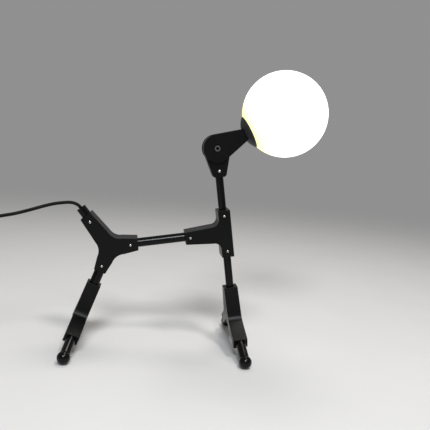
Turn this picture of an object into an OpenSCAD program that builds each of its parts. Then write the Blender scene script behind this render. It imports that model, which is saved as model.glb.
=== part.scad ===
// Table lamp in the shape of a standing dog: a tube frame with two shell joints,
// four ball feet and a globe that tilts on the neck.
// +X is the way the head looks, +Y is the dog's left side, +Z is up.

/* [Body] */
// Slope of the spine above level, head end up
spine_angle = 10; // [6:0.5:14]
// Shoulder centre to hip centre
spine_len = 161; // [140:1:190]
// Shoulder centre to the head pivot
neck_len = 119; // [105:0.5:150]
// Shoulder centre to the front ball centres, along the leg
front_leg_len = 160; // [145:1:190]
// Thickness of the shoulder and hip joints
joint_t = 32; // [26:0.5:36]

/* [Shoulder] */
// Centre to the end of the arm that takes the spine
shoulder_arm = 57; // [50:0.5:62]
// Centre to the end of each stub, up and down
shoulder_stub = 33; // [30:0.5:38]
// Width of the stubs
stub_w = 17; // [15:0.5:20]
// Width of the spine arm at its end
arm_end_w = 17; // [16:0.2:19]
// Width of the spine arm at its root
arm_root_w = 23; // [20:0.5:25]
// Radius of the inner corners
shoulder_fillet = 9.5; // [6:0.5:11]
// Centre to the stub screws
stub_screw_at = 25; // [23:0.5:27]
// Centre to the spine arm screw
arm_screw_at = 50; // [44:0.5:52]

/* [Hip] */
// Centre to the end of the spine arm
hip_spine_arm = 38; // [36:0.5:44]
// Centre to the end of the leg arm
hip_leg_arm = 36; // [34:0.5:42]
// Centre to the end of the tail arm
hip_tail_arm = 54; // [51:0.5:60]
// Width of each arm at its end
hip_end_w = 16.2; // [16:0.2:18]
// Width of each arm at its root
hip_root_w = 22; // [20:0.5:25]
// Radius of the inner corners
hip_fillet = 18; // [12:0.5:20]
// Centre to the spine and leg screws
hip_screw_at = 28; // [27:0.5:30]
// Centre to the tail screw
tail_screw_at = 44; // [42:0.5:46]

/* [Tubes] */
// Outside diameter of the spine tube
spine_d = 12.6; // [11:0.2:13]
// Outside diameter of the neck tube
neck_d = 11; // [9.6:0.2:11.2]
// Outside diameter of the front leg tube
front_leg_d = 11; // [9.6:0.2:12]
// Outside diameter of the rear leg tube
rear_leg_d = 13.8; // [11:0.2:14]
// Wall of every tube
tube_wall = 1; // [0.8:0.1:1.1]
// Length of the spine tube inside the shoulder
spine_grip = 34; // [26:0.5:38]
// Length of the other tubes inside the joints
tube_grip = 18; // [15:0.5:20]
// Length of each leg tube inside its bracket
leg_socket = 28; // [20:0.5:34]

/* [Neck bracket] */
// Radius of the tongue around the pivot
tongue_r = 19; // [17:0.5:19.4]
// Slope of the tongue's sides
tongue_taper = 15; // [12:0.5:16]
// Pivot to the lower end of the bracket
tongue_len = 40; // [38:0.2:44]
// Thickness of the bracket
tongue_t = 15; // [14.6:0.2:15.4]
// Chamfer on the lower corners
tongue_chamfer = 2; // [1:0.5:3]
// Lower end of the bracket to its screw
tongue_screw_up = 8.5; // [7:0.1:11]
// Length of the neck tube inside the bracket
neck_socket = 17.5; // [15:0.5:19]

/* [Head] */
// Slope of the head above level at rest
head_tilt = 30.3; // [25:0.1:40]
// Radius of the fork around the pivot
fork_r = 19.5; // [19.5:0.1:22]
// Slope of the fork's sides
fork_taper = 15.4; // [13:0.2:16]
// Pivot to the end of the fork
fork_len = 42.3; // [39:0.1:46]
// Thickness of the web at the fork's end
fork_web = 4.5; // [4:0.5:6]
// Outer width of the fork
fork_t = 24; // [23.6:0.2:28]
// Depth of the recess for the pivot head
pivot_recess = 2; // [1:0.1:2.4]
// Diameter of the recess for the pivot head
pivot_recess_d = 12; // [10.4:0.2:14]
// Diameter of the pivot head
pivot_head_d = 8; // [7.6:0.2:10]
// Height of the pivot head
pivot_head_h = 2.5; // [2:0.1:3.5]
// Size across the flats of the pivot's socket
pivot_socket = 4; // [3:0.5:5]
// Diameter of the pivot shank
pivot_d = 5; // [4:0.1:5]
// Thickness of each friction washer
washer_t = 0.5; // [0.4:0.1:1]
// Outside diameter of each friction washer
washer_d = 13.6; // [10:0.2:13.8]

/* [Globe] */
// Outside diameter of the globe
globe_d = 120; // [110:1:130]
// Glass thickness
globe_wall = 2; // [1.5:0.1:3]
// Diameter of the hole in the globe
globe_hole_d = 34; // [34:0.2:36]
// Outside radius of the dish that carries the globe
dish_r = 34; // [32:0.5:36]
// Radius of the flat on the back of the dish
dish_base_r = 7.4; // [7:0.1:8]
// Depth of the dish from its flat to its rim
dish_depth = 8.6; // [8.2:0.1:9.4]
// Wall of the dish
dish_wall = 1.8; // [1.4:0.1:2]
// Thickness of the floor of the dish
dish_floor = 3.1; // [3:0.1:3.6]
// Outside diameter of the boss inside the dish
boss_d = 30; // [28:0.2:31]
// Wall of the boss
boss_wall = 2.5; // [2:0.1:2.8]
// Height of the boss above the dish's floor
boss_h = 10.4; // [9.5:0.1:12]
// Height of the ring that holds the globe
ring_h = 7; // [6.6:0.1:8]
// Width of the ring's lip inside the globe
ring_lip = 1.5; // [1:0.1:2]
// Thickness of the ring's lip
ring_lip_t = 1.6; // [1.2:0.1:2]

/* [Lamp] */
// Outside diameter of the threaded nipple
nipple_d = 10; // [9:0.2:11]
// Bore of the nipple
nipple_bore = 7; // [6:0.2:7.4]
// Thickness of the nipple's nut
nipple_nut_t = 3; // [2.5:0.1:4]
// Size across the flats of the nipple's nut
nipple_nut_af = 14; // [12.4:0.2:14.4]
// Depth of the nipple inside the lampholder
nipple_depth = 5.6; // [5:0.2:8]
// Outside diameter of the lampholder
holder_d = 22; // [20:0.2:22.6]
// Length of the lampholder
holder_len = 25; // [22:0.5:30]
// Distance between the bulb's two pins
bulb_pin_gap = 9; // [8:0.2:11]
// Diameter of the bulb's pins
bulb_pin_d = 1.8; // [1.4:0.1:2]
// Length of the bulb's pins inside the holder
bulb_pin_len = 11; // [9:0.5:13]
// Width of the bulb's base
bulb_base_w = 14; // [13.4:0.2:15]
// Thickness of the bulb's base
bulb_base_t = 9; // [6:0.2:10]
// Height of the bulb's base
bulb_base_h = 8; // [6:0.5:10]
// Diameter of the bulb
bulb_d = 17; // [15:0.5:20]
// Length of the bulb without its base
bulb_len = 42; // [30:1:50]

/* [Legs] */
// Depth of the bracket across its top
bracket_top_t = 20; // [18:0.5:24]
// Width of the bracket
bracket_w = 19.5; // [17:0.5:22]
// Half width at the knee
knee_half = 23; // [18:0.5:26]
// Bracket top to the knee, along the leg
knee_drop = 42.5; // [40:0.5:48]
// Angle of the lower legs from the leg's line
splay = 64.5; // [56:0.5:66]
// Knee to the end of the lower leg
lower_len = 40.5; // [34:0.5:44]
// Thickness of the lower legs
lower_t = 14.5; // [13:0.5:16]
// Radius of the knee
knee_fillet = 12; // [8:0.5:16]

/* [Feet] */
// Mid-plane to each ball centre
foot_half = 86.5; // [76:0.5:90]
// Ball diameter
ball_d = 17; // [15:0.5:20]
// Rod diameter
rod_d = 13; // [10:0.5:13.5]
// Diameter of the rod's spigot in the bracket
rod_spigot_d = 8; // [6:0.5:9]
// Length of the rod's spigot in the bracket
rod_spigot_len = 18; // [12:0.5:22]
// Diameter of the rod's spigot in the ball
ball_spigot_d = 5; // [4:0.5:6]
// Length of the rod's spigot in the ball
ball_spigot_len = 5; // [4:0.5:6]

/* [Tail] */
// Outside diameter of the tail sleeve
tail_d = 13.4; // [12.6:0.1:14]
// Wall of the tail sleeve
tail_wall = 2.2; // [1.8:0.1:2.6]
// Length of the sleeve inside the hip
tail_grip = 20; // [16:0.5:24]
// Length of the sleeve outside the hip
tail_out = 12.5; // [10:0.5:16]
// Depth of the mouth at the sleeve's end
tail_mouth = 3.5; // [2.5:0.1:5]
// Wall of the sleeve around its mouth
tail_mouth_wall = 1.2; // [1:0.1:1.4]
// Length of the grommet's shank inside the sleeve
grommet_len = 15; // [13:0.5:17]
// Diameter of the grommet's collar
grommet_collar_d = 10.4; // [10:0.1:11]
// Thickness of the grommet's collar
grommet_collar_t = 1; // [0.8:0.1:1.5]
// Length of the grommet's tip
grommet_tip = 2; // [1.6:0.1:4]

/* [Fasteners] */
// Shank diameter of the joint screws
screw_d = 3; // [2.5:0.1:3]
// Head diameter of the joint screws
screw_head_d = 4.6; // [4.4:0.1:5.4]
// Size across the flats of the joint screws' sockets
screw_socket = 2; // [1.8:0.1:2.5]
// Head height of the joint screws
screw_head_h = 1.9; // [1.5:0.1:2]
// Depth of the joint screws' counterbores
screw_sink = 2.2; // [2:0.1:2.6]
// Depth of the counterbore in the neck bracket
bracket_sink = 1.2; // [0.9:0.1:1.4]
// Size across the flats of the small nuts
nut_af = 5.5; // [5:0.1:5.6]
// Thickness of the small nuts
nut_t = 2.4; // [2:0.1:2.6]
// Depth of the small nuts' pockets in the joints
nut_sink = 2.6; // [2.4:0.1:3]
// Depth of the nut's pocket in the neck bracket
bracket_nut_sink = 1.4; // [1:0.1:1.5]
// Size across the flats of the pivot nut
pivot_nut_af = 8; // [7:0.1:8.4]
// Thickness of the pivot nut
pivot_nut_t = 2.7; // [2.4:0.1:4]
// Depth of the pivot nut's pocket
pivot_nut_sink = 2.2; // [2:0.1:2.4]

/* [Wiring] */
// Diameter of the inner leads
lead_d = 2; // [1.6:0.1:2]
// Distance of the inner leads from the tube centres
lead_off = 2.7; // [2.6:0.05:2.8]
// Radius of the inner leads' bends
lead_bend = 8; // [6:0.5:9]
// Clearance around the inner leads in their grooves
groove_gap = 0.25; // [0.2:0.05:0.4]
// Diameter of the wiring channels in the joints
channel_d = 9; // [8.4:0.2:9.6]

/* [Cord] */
// Cord diameter
cord_d = 4.5; // [4:0.1:4.8]
// Length of cord held inside the grommet
cord_grip = 12; // [11:0.5:14]
// Inner radius of the coil, to the cord's centre
coil_inner_r = 20; // [19:0.5:22]
// Distance between turns of the coil
coil_pitch = 5; // [5:0.1:5.4]
// Turns in each layer of the coil
coil_turns = 2; // [2:1:3]
// Layers in the coil
coil_layers = 4; // [2:2:4]
// Width of the tie around the coil
tie_w = 8; // [5:0.5:12]
// Thickness of the tie
tie_t = 0.6; // [0.4:0.1:1]

/* [Switch] */
// Length of the cord switch
switch_len = 58; // [52:1:66]
// Width of the cord switch
switch_w = 26; // [24:0.5:30]
// Height of the cord switch
switch_h = 16; // [15:0.5:18]
// Wall below and beside the switch's hollow
switch_floor = 2.5; // [2:0.1:3]
// Width of the switch's hollow
hollow_w = 11; // [10.8:0.2:12]
// Length of the switch's hollow
hollow_len = 38; // [34:0.5:40]
// Height of the hollow above the split line
hollow_h = 2.5; // [2.2:0.1:3]
// Length of the rocker
rocker_len = 19.6; // [16:0.2:20]
// Width of the rocker
rocker_w = 10; // [8:0.2:10.4]
// Height of the rocker's axle above the split line
rocker_axle_h = 4.5; // [4:0.1:5]
// Diameter of the rocker's axle
rocker_axle_d = 3; // [2:0.1:3.4]
// Length of each end of the rocker's axle
rocker_axle_len = 2; // [1.4:0.1:2.4]
// Tilt of the rocker when the lamp is on
rocker_tilt = 8; // [5:0.5:9]
// Distance of the switch's screws from its centre line
switch_screw_x = 9.2; // [8.8:0.1:9.8]
// Distance of the switch's screws from its middle
switch_screw_y = 13; // [11:0.5:15]
// Shank diameter of the switch's screws
switch_screw_d = 2.4; // [2:0.1:2.6]
// Head diameter of the switch's screws
switch_head_d = 4.4; // [4:0.1:4.8]
// Depth of the switch's screw heads
switch_head_h = 1.8; // [1.4:0.1:2]
// Length of the switch's screw shanks
switch_screw_len = 9; // [8:0.5:10]
// Length of each contact block
contact_len = 8; // [6:0.5:9]
// Width of each contact block
contact_w = 6; // [4:0.5:8]

/* [Plug] */
// Width of the plug
plug_w = 35.2; // [34:0.2:37]
// Height of the plug
plug_h = 13.8; // [13:0.2:15]
// Length of the plug's body
plug_len = 28; // [25:0.5:34]
// Length of the plug's strain relief
plug_relief = 22; // [20:0.5:30]
// Distance between the plug's pins
plug_pin_gap = 19; // [19:0.5:19.5]
// Diameter of the plug's pins
plug_pin_d = 4; // [3.8:0.1:4.8]
// Length of the plug's pins outside the body
plug_pin_len = 19; // [18:0.5:20]
// Length of the plug's pins inside the body
plug_pin_root = 10; // [8:0.5:14]
// Diameter of the plug's pins inside the body
plug_root_d = 5; // [4.8:0.1:6]
// Width of the plug where its strain relief begins
plug_neck_w = 13; // [11:0.5:16]
// Length of the plug's sloping shoulders
plug_slope = 11; // [8:0.5:14]
// Width of the plug's long chamfers
plug_chamfer = 3.5; // [2:0.5:5]
// Height of the plug's narrow sides
plug_side_h = 5; // [4:0.5:8]
// Depth of the cord inside the plug
plug_cord = 8; // [6:0.5:12]

/* [Fits] */
// Clearance around tubes, rods and shanks that don't turn
fit_gap = 0.05; // [0.02:0.01:0.08]
// Clearance around shafts that turn
run_gap = 0.05; // [0.02:0.01:0.08]
// Clearance between flat seats
seat_gap = 0.02; // [0.01:0.01:0.05]
// Clearance between moving sides
side_gap = 0.3; // [0.2:0.05:0.4]
// Clearance of the screw shanks in their holes
hole_gap = 0.1; // [0.05:0.05:0.15]
// Clearance of screw heads and nuts in their pockets
pocket_gap = 0.2; // [0.1:0.05:0.25]

/* [Hidden] */
$fn = 64;
joint_half = joint_t / 2;
ball_r = ball_d / 2;
globe_r = globe_d / 2;

// Places of the joints, with the middle of the lamp's length at X = 0
hip_arm_angle = 120;
notch_angle = 60;
shoulder_z = ball_r + front_leg_len * cos(spine_angle);
hip_dx = -spine_len * cos(spine_angle);
hip_z = shoulder_z - spine_len * sin(spine_angle);
rear_angle = spine_angle + 2 * hip_arm_angle;
rear_leg_len = (ball_r - hip_z) / sin(rear_angle);
pivot_dx = -neck_len * sin(spine_angle);
pivot_z = shoulder_z + neck_len * cos(spine_angle);
dish_centre = fork_len + sqrt(dish_r * dish_r - dish_base_r * dish_base_r);
dish_in_r = dish_r - dish_wall;
rim_at = fork_len + dish_depth;
rim_in_r = sqrt(dish_in_r * dish_in_r - (dish_centre - rim_at) * (dish_centre - rim_at));
rim_gap = 0.1;
globe_at = rim_at + rim_gap + sqrt(globe_r * globe_r - rim_in_r * rim_in_r);
rear_ball_dx = hip_dx + rear_leg_len * cos(rear_angle);
globe_dx = pivot_dx + globe_at * cos(head_tilt);
shoulder_x = -(rear_ball_dx - ball_r + globe_dx + globe_r) / 2;

// Ends of the tubes
spine_stop = shoulder_arm - spine_grip;
stub_stop = shoulder_stub - tube_grip;
hip_spine_stop = hip_spine_arm - tube_grip;
hip_leg_stop = hip_leg_arm - tube_grip;
neck_top = tongue_len - neck_socket;
tongue_screw_at = tongue_len - tongue_screw_up;

// Lower legs, measured across from the middle and down from the bracket's top
knee_mid_y = knee_half - cos(splay) * lower_t / 2;
knee_mid_s = knee_drop + sin(splay) * lower_t / 2;
ball_along = (foot_half - knee_mid_y) / sin(splay);
ball_drop = knee_mid_s + ball_along * cos(splay);
front_top = front_leg_len - ball_drop;
rear_top = rear_leg_len - ball_drop;
end_y = knee_half + lower_len * sin(splay);
end_s = knee_drop + lower_len * cos(splay);
in_y = end_y - lower_t * cos(splay);
in_s = end_s + lower_t * sin(splay);
crotch_s = in_s - in_y / tan(splay);
knee_slope = atan((knee_half - bracket_top_t / 2) / knee_drop);
knee_tangent = knee_fillet * tan((splay - knee_slope) / 2);
ball_flat = sqrt(ball_r * ball_r - rod_d * rod_d / 4);
fillet_bite = 0.005;
tangent_bite = 0.02;

// Fork, pivot and wiring loop
slot_half = tongue_t / 2 + washer_t;
slot_end = fork_len - fork_web;
fork_half = fork_t / 2;
loop_drop = washer_d / 2 + lead_d / 2 + side_gap;
loop_r = sqrt(lead_off * lead_off + loop_drop * loop_drop);
loop_y = slot_half + lead_d / 2 + hole_gap;
lead_r = lead_d / 2;
lead_room = 0.3 * lead_d;
exit_bend = 2 * lead_d;
groove_drop = 1.7 * lead_d;
hub_gap = 0.5;
shoulder_hub_r = (lead_off + lead_bend) * sqrt(2) - lead_bend + lead_r + hub_gap;
hip_hub_r = (lead_off + lead_bend) / sin(notch_angle) - lead_bend + lead_r + hub_gap;

// Lamp, measured from the pivot along the head
floor_at = fork_len + dish_floor;
holder_at = floor_at + seat_gap;
holder_end = holder_at + holder_len;
nipple_from = slot_end - nipple_nut_t - 1;
nipple_to = holder_at + nipple_depth;
ring_in_r = boss_d / 2 + run_gap;
ring_out_r = globe_hole_d / 2 - fit_gap;
lip_r = ring_out_r + ring_lip;
glass_in_r = globe_r - globe_wall;
lip_at = globe_at - sqrt(glass_in_r * glass_in_r - lip_r * lip_r) + rim_gap;
ring_from = dish_centre - sqrt(dish_in_r * dish_in_r - ring_out_r * ring_out_r) + 0.2;

// Tail, measured from the hip centre
tail_from = hip_tail_arm - tail_grip;
tail_to = hip_tail_arm + tail_out;
tail_in_r = tail_d / 2 - tail_wall;
grommet_seat = tail_to - tail_mouth;
grommet_from = grommet_seat - grommet_len;
grommet_to = grommet_seat + grommet_collar_t + grommet_tip;
cord_from = grommet_to - cord_grip;
cord_r = cord_d / 2;

// Route of the cord from the tail down to the switch, chosen by hand
switch_at = [-392, 24, switch_h / 2];
cord_route = [
    [-163.3, 0, 191.9], [-167.4, -0.1, 194.1], [-171.9, -0.9, 195.3], [-176.6, -2.3, 195.6],
    [-182.1, -4.3, 195.2], [-188.6, -6.8, 194.4], [-195.6, -9.5, 193.2], [-206.6, -14, 190.3],
    [-221.6, -20, 185.5], [-240.6, -28, 180], [-258.6, -36, 176.5], [-276.6, -44, 171.5],
    [-292.4, -51, 163.6], [-306, -56, 151.8], [-316.6, -60, 136.5], [-324.4, -62, 118],
    [-330.2, -63, 97.4], [-335, -62, 76.7], [-340.5, -59.5, 57], [-348, -55, 39.5], [-358, -48, 24.5],
    [-369, -40.5, 14.5], [-378.5, -34, 9.8], [-385.5, -27.5, 8.2], [-390, -20.5, 8], [-392, -12.5, 8]
];
// Route from the switch to the coil, chosen by hand
link_route = [
    [-391.9, 58, 8], [-390.6, 64.5, 7.7], [-387.2, 70.4, 7.2], [-382, 74.8, 6.6],
    [-375.5, 77.2, 5.9], [-368, 77.5, 5], [-360.5, 77.5, 4]
];
// Route from the coil to the plug, chosen by hand
end_route = [
    [-303.75, 32, 17.1], [-303.75, 26.5, 15.2], [-303.75, 21, 12.4], [-303.75, 15.5, 9.7],
    [-303.75, 10, 7.7], [-303.75, 4.5, 6.9]
];

coil_outer_r = coil_inner_r + coil_pitch * coil_turns;
coil_lift = tie_t + 0.1;
coil_at = [-335, link_route[len(link_route) - 1][1] - coil_outer_r, cord_r + coil_lift];
coil_total = coil_turns * coil_layers + 0.25;
coil_top = coil_pitch * (coil_layers - 1);
coil_out_r = coil_outer_r + 0.25 * coil_pitch;
plug_at = [coil_at[0] + coil_out_r, 0, plug_h / 2];
plug_front = -plug_relief - plug_len;
switch_in = switch_at - [0, switch_len / 2, 0];
switch_out = switch_at + [0, switch_len / 2, 0];
contact_mid = hollow_len / 2 - contact_len / 2;
contact_h = switch_h / 2 - switch_floor - 0.5;
cord_end_in = (switch_len - hollow_len) / 2;

black = [0.05, 0.05, 0.055];
gloss_black = [0.02, 0.02, 0.025];
nickel = [0.75, 0.74, 0.72];
zinc = [0.55, 0.55, 0.56];
white = [0.95, 0.94, 0.9];
rubber_black = [0.04, 0.04, 0.04];
brass = [0.8, 0.65, 0.3];

// Frames of the body, rear leg, tail, neck pivot and head
module body_frame() {
    translate([shoulder_x, 0, shoulder_z]) rotate([0, -spine_angle, 0]) children();
}
module hip_frame() {
    body_frame() translate([-spine_len, 0, 0]) children();
}
module rear_frame() {
    hip_frame() rotate([0, 270 - 2 * hip_arm_angle, 0]) children();
}
module tail_frame() {
    hip_frame() rotate([0, -hip_arm_angle, 0]) children();
}
module neck_frame() {
    body_frame() translate([0, 0, neck_len]) children();
}
module head_frame() {
    neck_frame() rotate([0, spine_angle - head_tilt, 0]) children();
}
module foot_frame(top, side) {
    translate([0, side * knee_mid_y, -(top + knee_mid_s)]) rotate([side * splay, 0, 0]) children();
}

// Cylinders along each axis and flat slabs in the XZ plane
module along_x(r, from, to) {
    translate([from, 0, 0]) rotate([0, 90, 0]) cylinder(r = r, h = to - from);
}
module along_y(r, from, to) {
    translate([0, to, 0]) rotate([90, 0, 0]) cylinder(r = r, h = to - from);
}
module along_z(r, from, to) {
    translate([0, 0, from]) cylinder(r = r, h = to - from);
}
module slab(from, to) {
    translate([0, to, 0]) rotate([90, 0, 0]) linear_extrude(to - from) children();
}
module hex_y(flats, from, to) {
    translate([0, to, 0]) rotate([90, 0, 0]) cylinder(r = flats / 2 / cos(30), h = to - from, $fn = 6);
}
module hex_x(flats, from, to) {
    translate([from, 0, 0]) rotate([0, 90, 0]) cylinder(r = flats / 2 / cos(30), h = to - from, $fn = 6);
}

// Smooth routes and swept tubes
function unit(v) = v / norm(v);
function curve_at(p, i, t) =
    let (a = p[max(i - 1, 0)], b = p[i], c = p[i + 1], d = p[min(i + 2, len(p) - 1)])
    (2 * b + (c - a) * t + (2 * a - 5 * b + 4 * c - d) * t * t + (3 * b - a - 3 * c + d) * t * t * t) / 2;
function smooth_route(p, n) = concat(
    [for (i = [0 : len(p) - 2]) for (k = [0 : n - 1]) curve_at(p, i, k / n)],
    [p[len(p) - 1]]
);
function headings(p) = [for (i = [0 : len(p) - 1]) unit(p[min(i + 1, len(p) - 1)] - p[max(i - 1, 0)])];
function carried(s, h) = unit(s - (s * h) * h);
function sides(h, first) = [
    for (i = 0, s = carried(first, h[0]); i < len(h); i = i + 1, s = carried(s, h[min(i, len(h) - 1)])) s
];
function rings(p, r, n, first) =
    let (h = headings(p), s = sides(h, first))
    [for (i = [0 : len(p) - 1]) for (k = [0 : n - 1])
        p[i] + r * (cos(360 * k / n) * s[i] + sin(360 * k / n) * cross(h[i], s[i]))];
function tube_faces(m, n) = concat(
    [[for (k = [0 : n - 1]) k]],
    [for (i = [0 : m - 2]) for (k = [0 : n - 1]) [i * n + k, (i + 1) * n + k, (i + 1) * n + (k + 1) % n]],
    [for (i = [0 : m - 2]) for (k = [0 : n - 1])
        [i * n + k, (i + 1) * n + (k + 1) % n, i * n + (k + 1) % n]],
    [[for (k = [n - 1 : -1 : 0]) (m - 1) * n + k]]
);
module swept_tube(p, r, n, first = [0, 1, 0]) {
    polyhedron(points = rings(p, r, n, first), faces = tube_faces(len(p), n), convexity = 10);
}
// Points of a bend in the XZ plane from one angle to another around a centre
function bend_points(c, r, a0, a1, n) = [
    for (k = [0 : n]) let (a = a0 + (a1 - a0) * k / n) c + r * [cos(a), 0, sin(a)]
];

// Places of the screws: three on the shoulder and three on the hip
module at_shoulder_screws() {
    body_frame() {
        translate([0, 0, stub_screw_at]) children();
        translate([0, 0, -stub_screw_at]) children();
        translate([-arm_screw_at, 0, 0]) children();
    }
}
module at_hip_screws() {
    hip_frame() translate([hip_screw_at, 0, 0]) children();
    rear_frame() translate([0, 0, -hip_screw_at]) children();
    tail_frame() translate([tail_screw_at, 0, 0]) children();
}
module screw_hole(half, sink, nut_depth) {
    along_y(screw_d / 2 + hole_gap, -half - 1, half + 1);
    along_y(screw_head_d / 2 + pocket_gap, -half - 1, sink - half);
    hex_y(nut_af + 2 * pocket_gap, half - nut_depth, half + 1);
}
module small_screw(half, sink, nut_depth) {
    seat = sink - half - seat_gap;
    difference() {
        union() {
            along_y(screw_head_d / 2, seat - screw_head_h, seat);
            along_y(screw_d / 2, seat - 0.5, half - nut_depth + nut_t);
        }
        hex_y(screw_socket, seat - screw_head_h - 1, seat - screw_head_h + 1.1);
    }
}
module small_nut(half, nut_depth) {
    from = half - nut_depth + seat_gap;
    difference() {
        hex_y(nut_af, from, from + nut_t - 0.1);
        along_y(screw_d / 2 + 0.02, from - 1, from + nut_t + 1);
    }
}

// Shoulder: a T with a tapering arm for the spine
module shoulder_outline() {
    end = arm_end_w / 2;
    root = arm_root_w / 2;
    stub = stub_w / 2;
    corner = stub + shoulder_fillet;
    rise = root + shoulder_fillet;
    upper = [
        [stub, shoulder_stub], [-stub, shoulder_stub], [-stub, rise], [-corner, rise],
        [-corner, root], [-corner - 2, root], [-shoulder_arm, end]
    ];
    difference() {
        polygon(concat(
            upper,
            [for (k = [len(upper) - 1 : -1 : 0]) [upper[k][0], -upper[k][1]]]
        ));
        for (side = [-1, 1]) translate([-corner, side * rise]) circle(r = shoulder_fillet + fillet_bite);
    }
}
module shoulder_hollow() {
    body_frame() {
        along_x(spine_d / 2 + fit_gap, -shoulder_arm - 1, -spine_stop);
        along_z(neck_d / 2 + fit_gap, stub_stop, shoulder_stub + 1);
        along_z(front_leg_d / 2 + fit_gap, -shoulder_stub - 1, -stub_stop);
        along_x(channel_d / 2, -spine_stop - 1, 0);
        along_z(channel_d / 2, 0, stub_stop + 1);
        sphere(r = shoulder_hub_r);
    }
}
module shoulder_half(from, to) {
    difference() {
        body_frame() slab(from, to) shoulder_outline();
        shoulder_hollow();
        at_shoulder_screws() screw_hole(joint_half, screw_sink, nut_sink);
    }
}
module shoulder_near_shell() color(black) shoulder_half(-joint_half, -seat_gap);
module shoulder_far_shell() color(black) shoulder_half(seat_gap, joint_half);

// Hip: three tapering arms at equal angles
function turned(p, a) = [p[0] * cos(a) - p[1] * sin(a), p[0] * sin(a) + p[1] * cos(a)];
module hip_arm(reach, angle) {
    end = hip_end_w / 2;
    root = hip_root_w / 2;
    straight = (root + hip_fillet) / tan(notch_angle) + 1;
    rotate(angle) polygon([
        [0, -root], [straight, -root], [reach, -end], [reach, end], [straight, root], [0, root]
    ]);
}
module hip_outline() {
    root = hip_root_w / 2;
    reach = (root + hip_fillet) / tan(notch_angle);
    hip_arm(hip_spine_arm, 0);
    hip_arm(hip_tail_arm, hip_arm_angle);
    hip_arm(hip_leg_arm, 2 * hip_arm_angle);
    for (k = [0 : 2]) difference() {
        polygon([
            [0, 0],
            turned([reach, root - 0.01], hip_arm_angle * k),
            turned([(root + hip_fillet) / sin(notch_angle), 0], hip_arm_angle * k + notch_angle),
            turned([reach, 0.01 - root], hip_arm_angle * (k + 1))
        ]);
        rotate(hip_arm_angle * k + notch_angle)
            translate([(root + hip_fillet) / sin(notch_angle), 0]) circle(r = hip_fillet);
    }
}
module hip_hollow() {
    hip_frame() {
        along_x(spine_d / 2 + fit_gap, hip_spine_stop, hip_spine_arm + 1);
        along_x(channel_d / 2, 0, hip_spine_stop + 1);
        sphere(r = hip_hub_r);
    }
    rear_frame() along_z(rear_leg_d / 2 + fit_gap, -hip_leg_arm - 1, -hip_leg_stop);
    tail_frame() {
        along_x(tail_d / 2 + fit_gap, tail_from, hip_tail_arm + 1);
        along_x(channel_d / 2, 0, tail_from + 1);
    }
}
module hip_half(from, to) {
    difference() {
        hip_frame() slab(from, to) hip_outline();
        hip_hollow();
        at_hip_screws() screw_hole(joint_half, screw_sink, nut_sink);
    }
}
module hip_near_shell() color(black) hip_half(-joint_half, -seat_gap);
module hip_far_shell() color(black) hip_half(seat_gap, joint_half);

// Tubes, each with a cross hole for every screw that holds it
module spine_tube() color(gloss_black) difference() {
    body_frame() along_x(spine_d / 2, hip_spine_stop + 0.1 - spine_len, -spine_stop - 0.1);
    body_frame() along_x(spine_d / 2 - tube_wall, -spine_len, 0);
    at_shoulder_screws() along_y(screw_d / 2 + hole_gap, -joint_half, joint_half);
    at_hip_screws() along_y(screw_d / 2 + hole_gap, -joint_half, joint_half);
}
module neck_tube() color(gloss_black) difference() {
    body_frame() along_z(neck_d / 2, stub_stop + 0.1, neck_len - neck_top - 0.1);
    body_frame() along_z(neck_d / 2 - tube_wall, 0, neck_len);
    at_shoulder_screws() along_y(screw_d / 2 + hole_gap, -joint_half, joint_half);
    neck_frame() translate([0, 0, -tongue_screw_at])
        along_y(screw_d / 2 + hole_gap, -joint_half, joint_half);
}
module front_leg_tube() color(gloss_black) difference() {
    body_frame() along_z(front_leg_d / 2, 0.1 - front_top - leg_socket, -stub_stop - 0.1);
    body_frame() along_z(front_leg_d / 2 - tube_wall, -front_leg_len, 0);
    at_shoulder_screws() along_y(screw_d / 2 + hole_gap, -joint_half, joint_half);
}
module rear_leg_tube() color(gloss_black) difference() {
    rear_frame() along_z(rear_leg_d / 2, 0.1 - rear_top - leg_socket, -hip_leg_stop - 0.1);
    rear_frame() along_z(rear_leg_d / 2 - tube_wall, -rear_leg_len, 0);
    at_hip_screws() along_y(screw_d / 2 + hole_gap, -joint_half, joint_half);
}

// Bracket on top of the neck, with the pivot tongue
module tongue_sides() {
    half = tongue_r / cos(tongue_taper) - tongue_len * tan(tongue_taper);
    shoulder = half + tongue_chamfer * tan(tongue_taper);
    meet = tongue_r - tangent_bite;
    polygon([
        [0, 0],
        [meet * cos(tongue_taper), -meet * sin(tongue_taper)],
        [shoulder, tongue_chamfer - tongue_len], [half - tongue_chamfer, -tongue_len],
        [tongue_chamfer - half, -tongue_len], [-shoulder, tongue_chamfer - tongue_len],
        [-meet * cos(tongue_taper), -meet * sin(tongue_taper)]
    ]);
}
module neck_bracket() color(black) neck_frame() difference() {
    union() {
        along_y(tongue_r, -tongue_t / 2, tongue_t / 2);
        slab(-tongue_t / 2, tongue_t / 2) tongue_sides();
    }
    along_y(pivot_d / 2 + run_gap, -tongue_t, tongue_t);
    along_z(neck_d / 2 + fit_gap, -tongue_len - 1, -neck_top);
    translate([-lead_off, 0, 0]) along_z(lead_r + lead_room, -neck_top - 1, -loop_drop - exit_bend);
    translate([-lead_off - lead_r - lead_room, -lead_r - lead_room, -loop_drop - 1.4 * exit_bend])
        cube([lead_d + 2 * lead_room, tongue_t, 1.4 * exit_bend + 1.4 * lead_r]);
    translate([0, 0, -tongue_screw_at]) screw_hole(tongue_t / 2, bracket_sink, bracket_nut_sink);
}
module bracket_screw() color(nickel) neck_frame() translate([0, 0, -tongue_screw_at])
    small_screw(tongue_t / 2, bracket_sink, bracket_nut_sink);
module bracket_nut() color(zinc) neck_frame() translate([0, 0, -tongue_screw_at])
    small_nut(tongue_t / 2, bracket_nut_sink);
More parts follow.
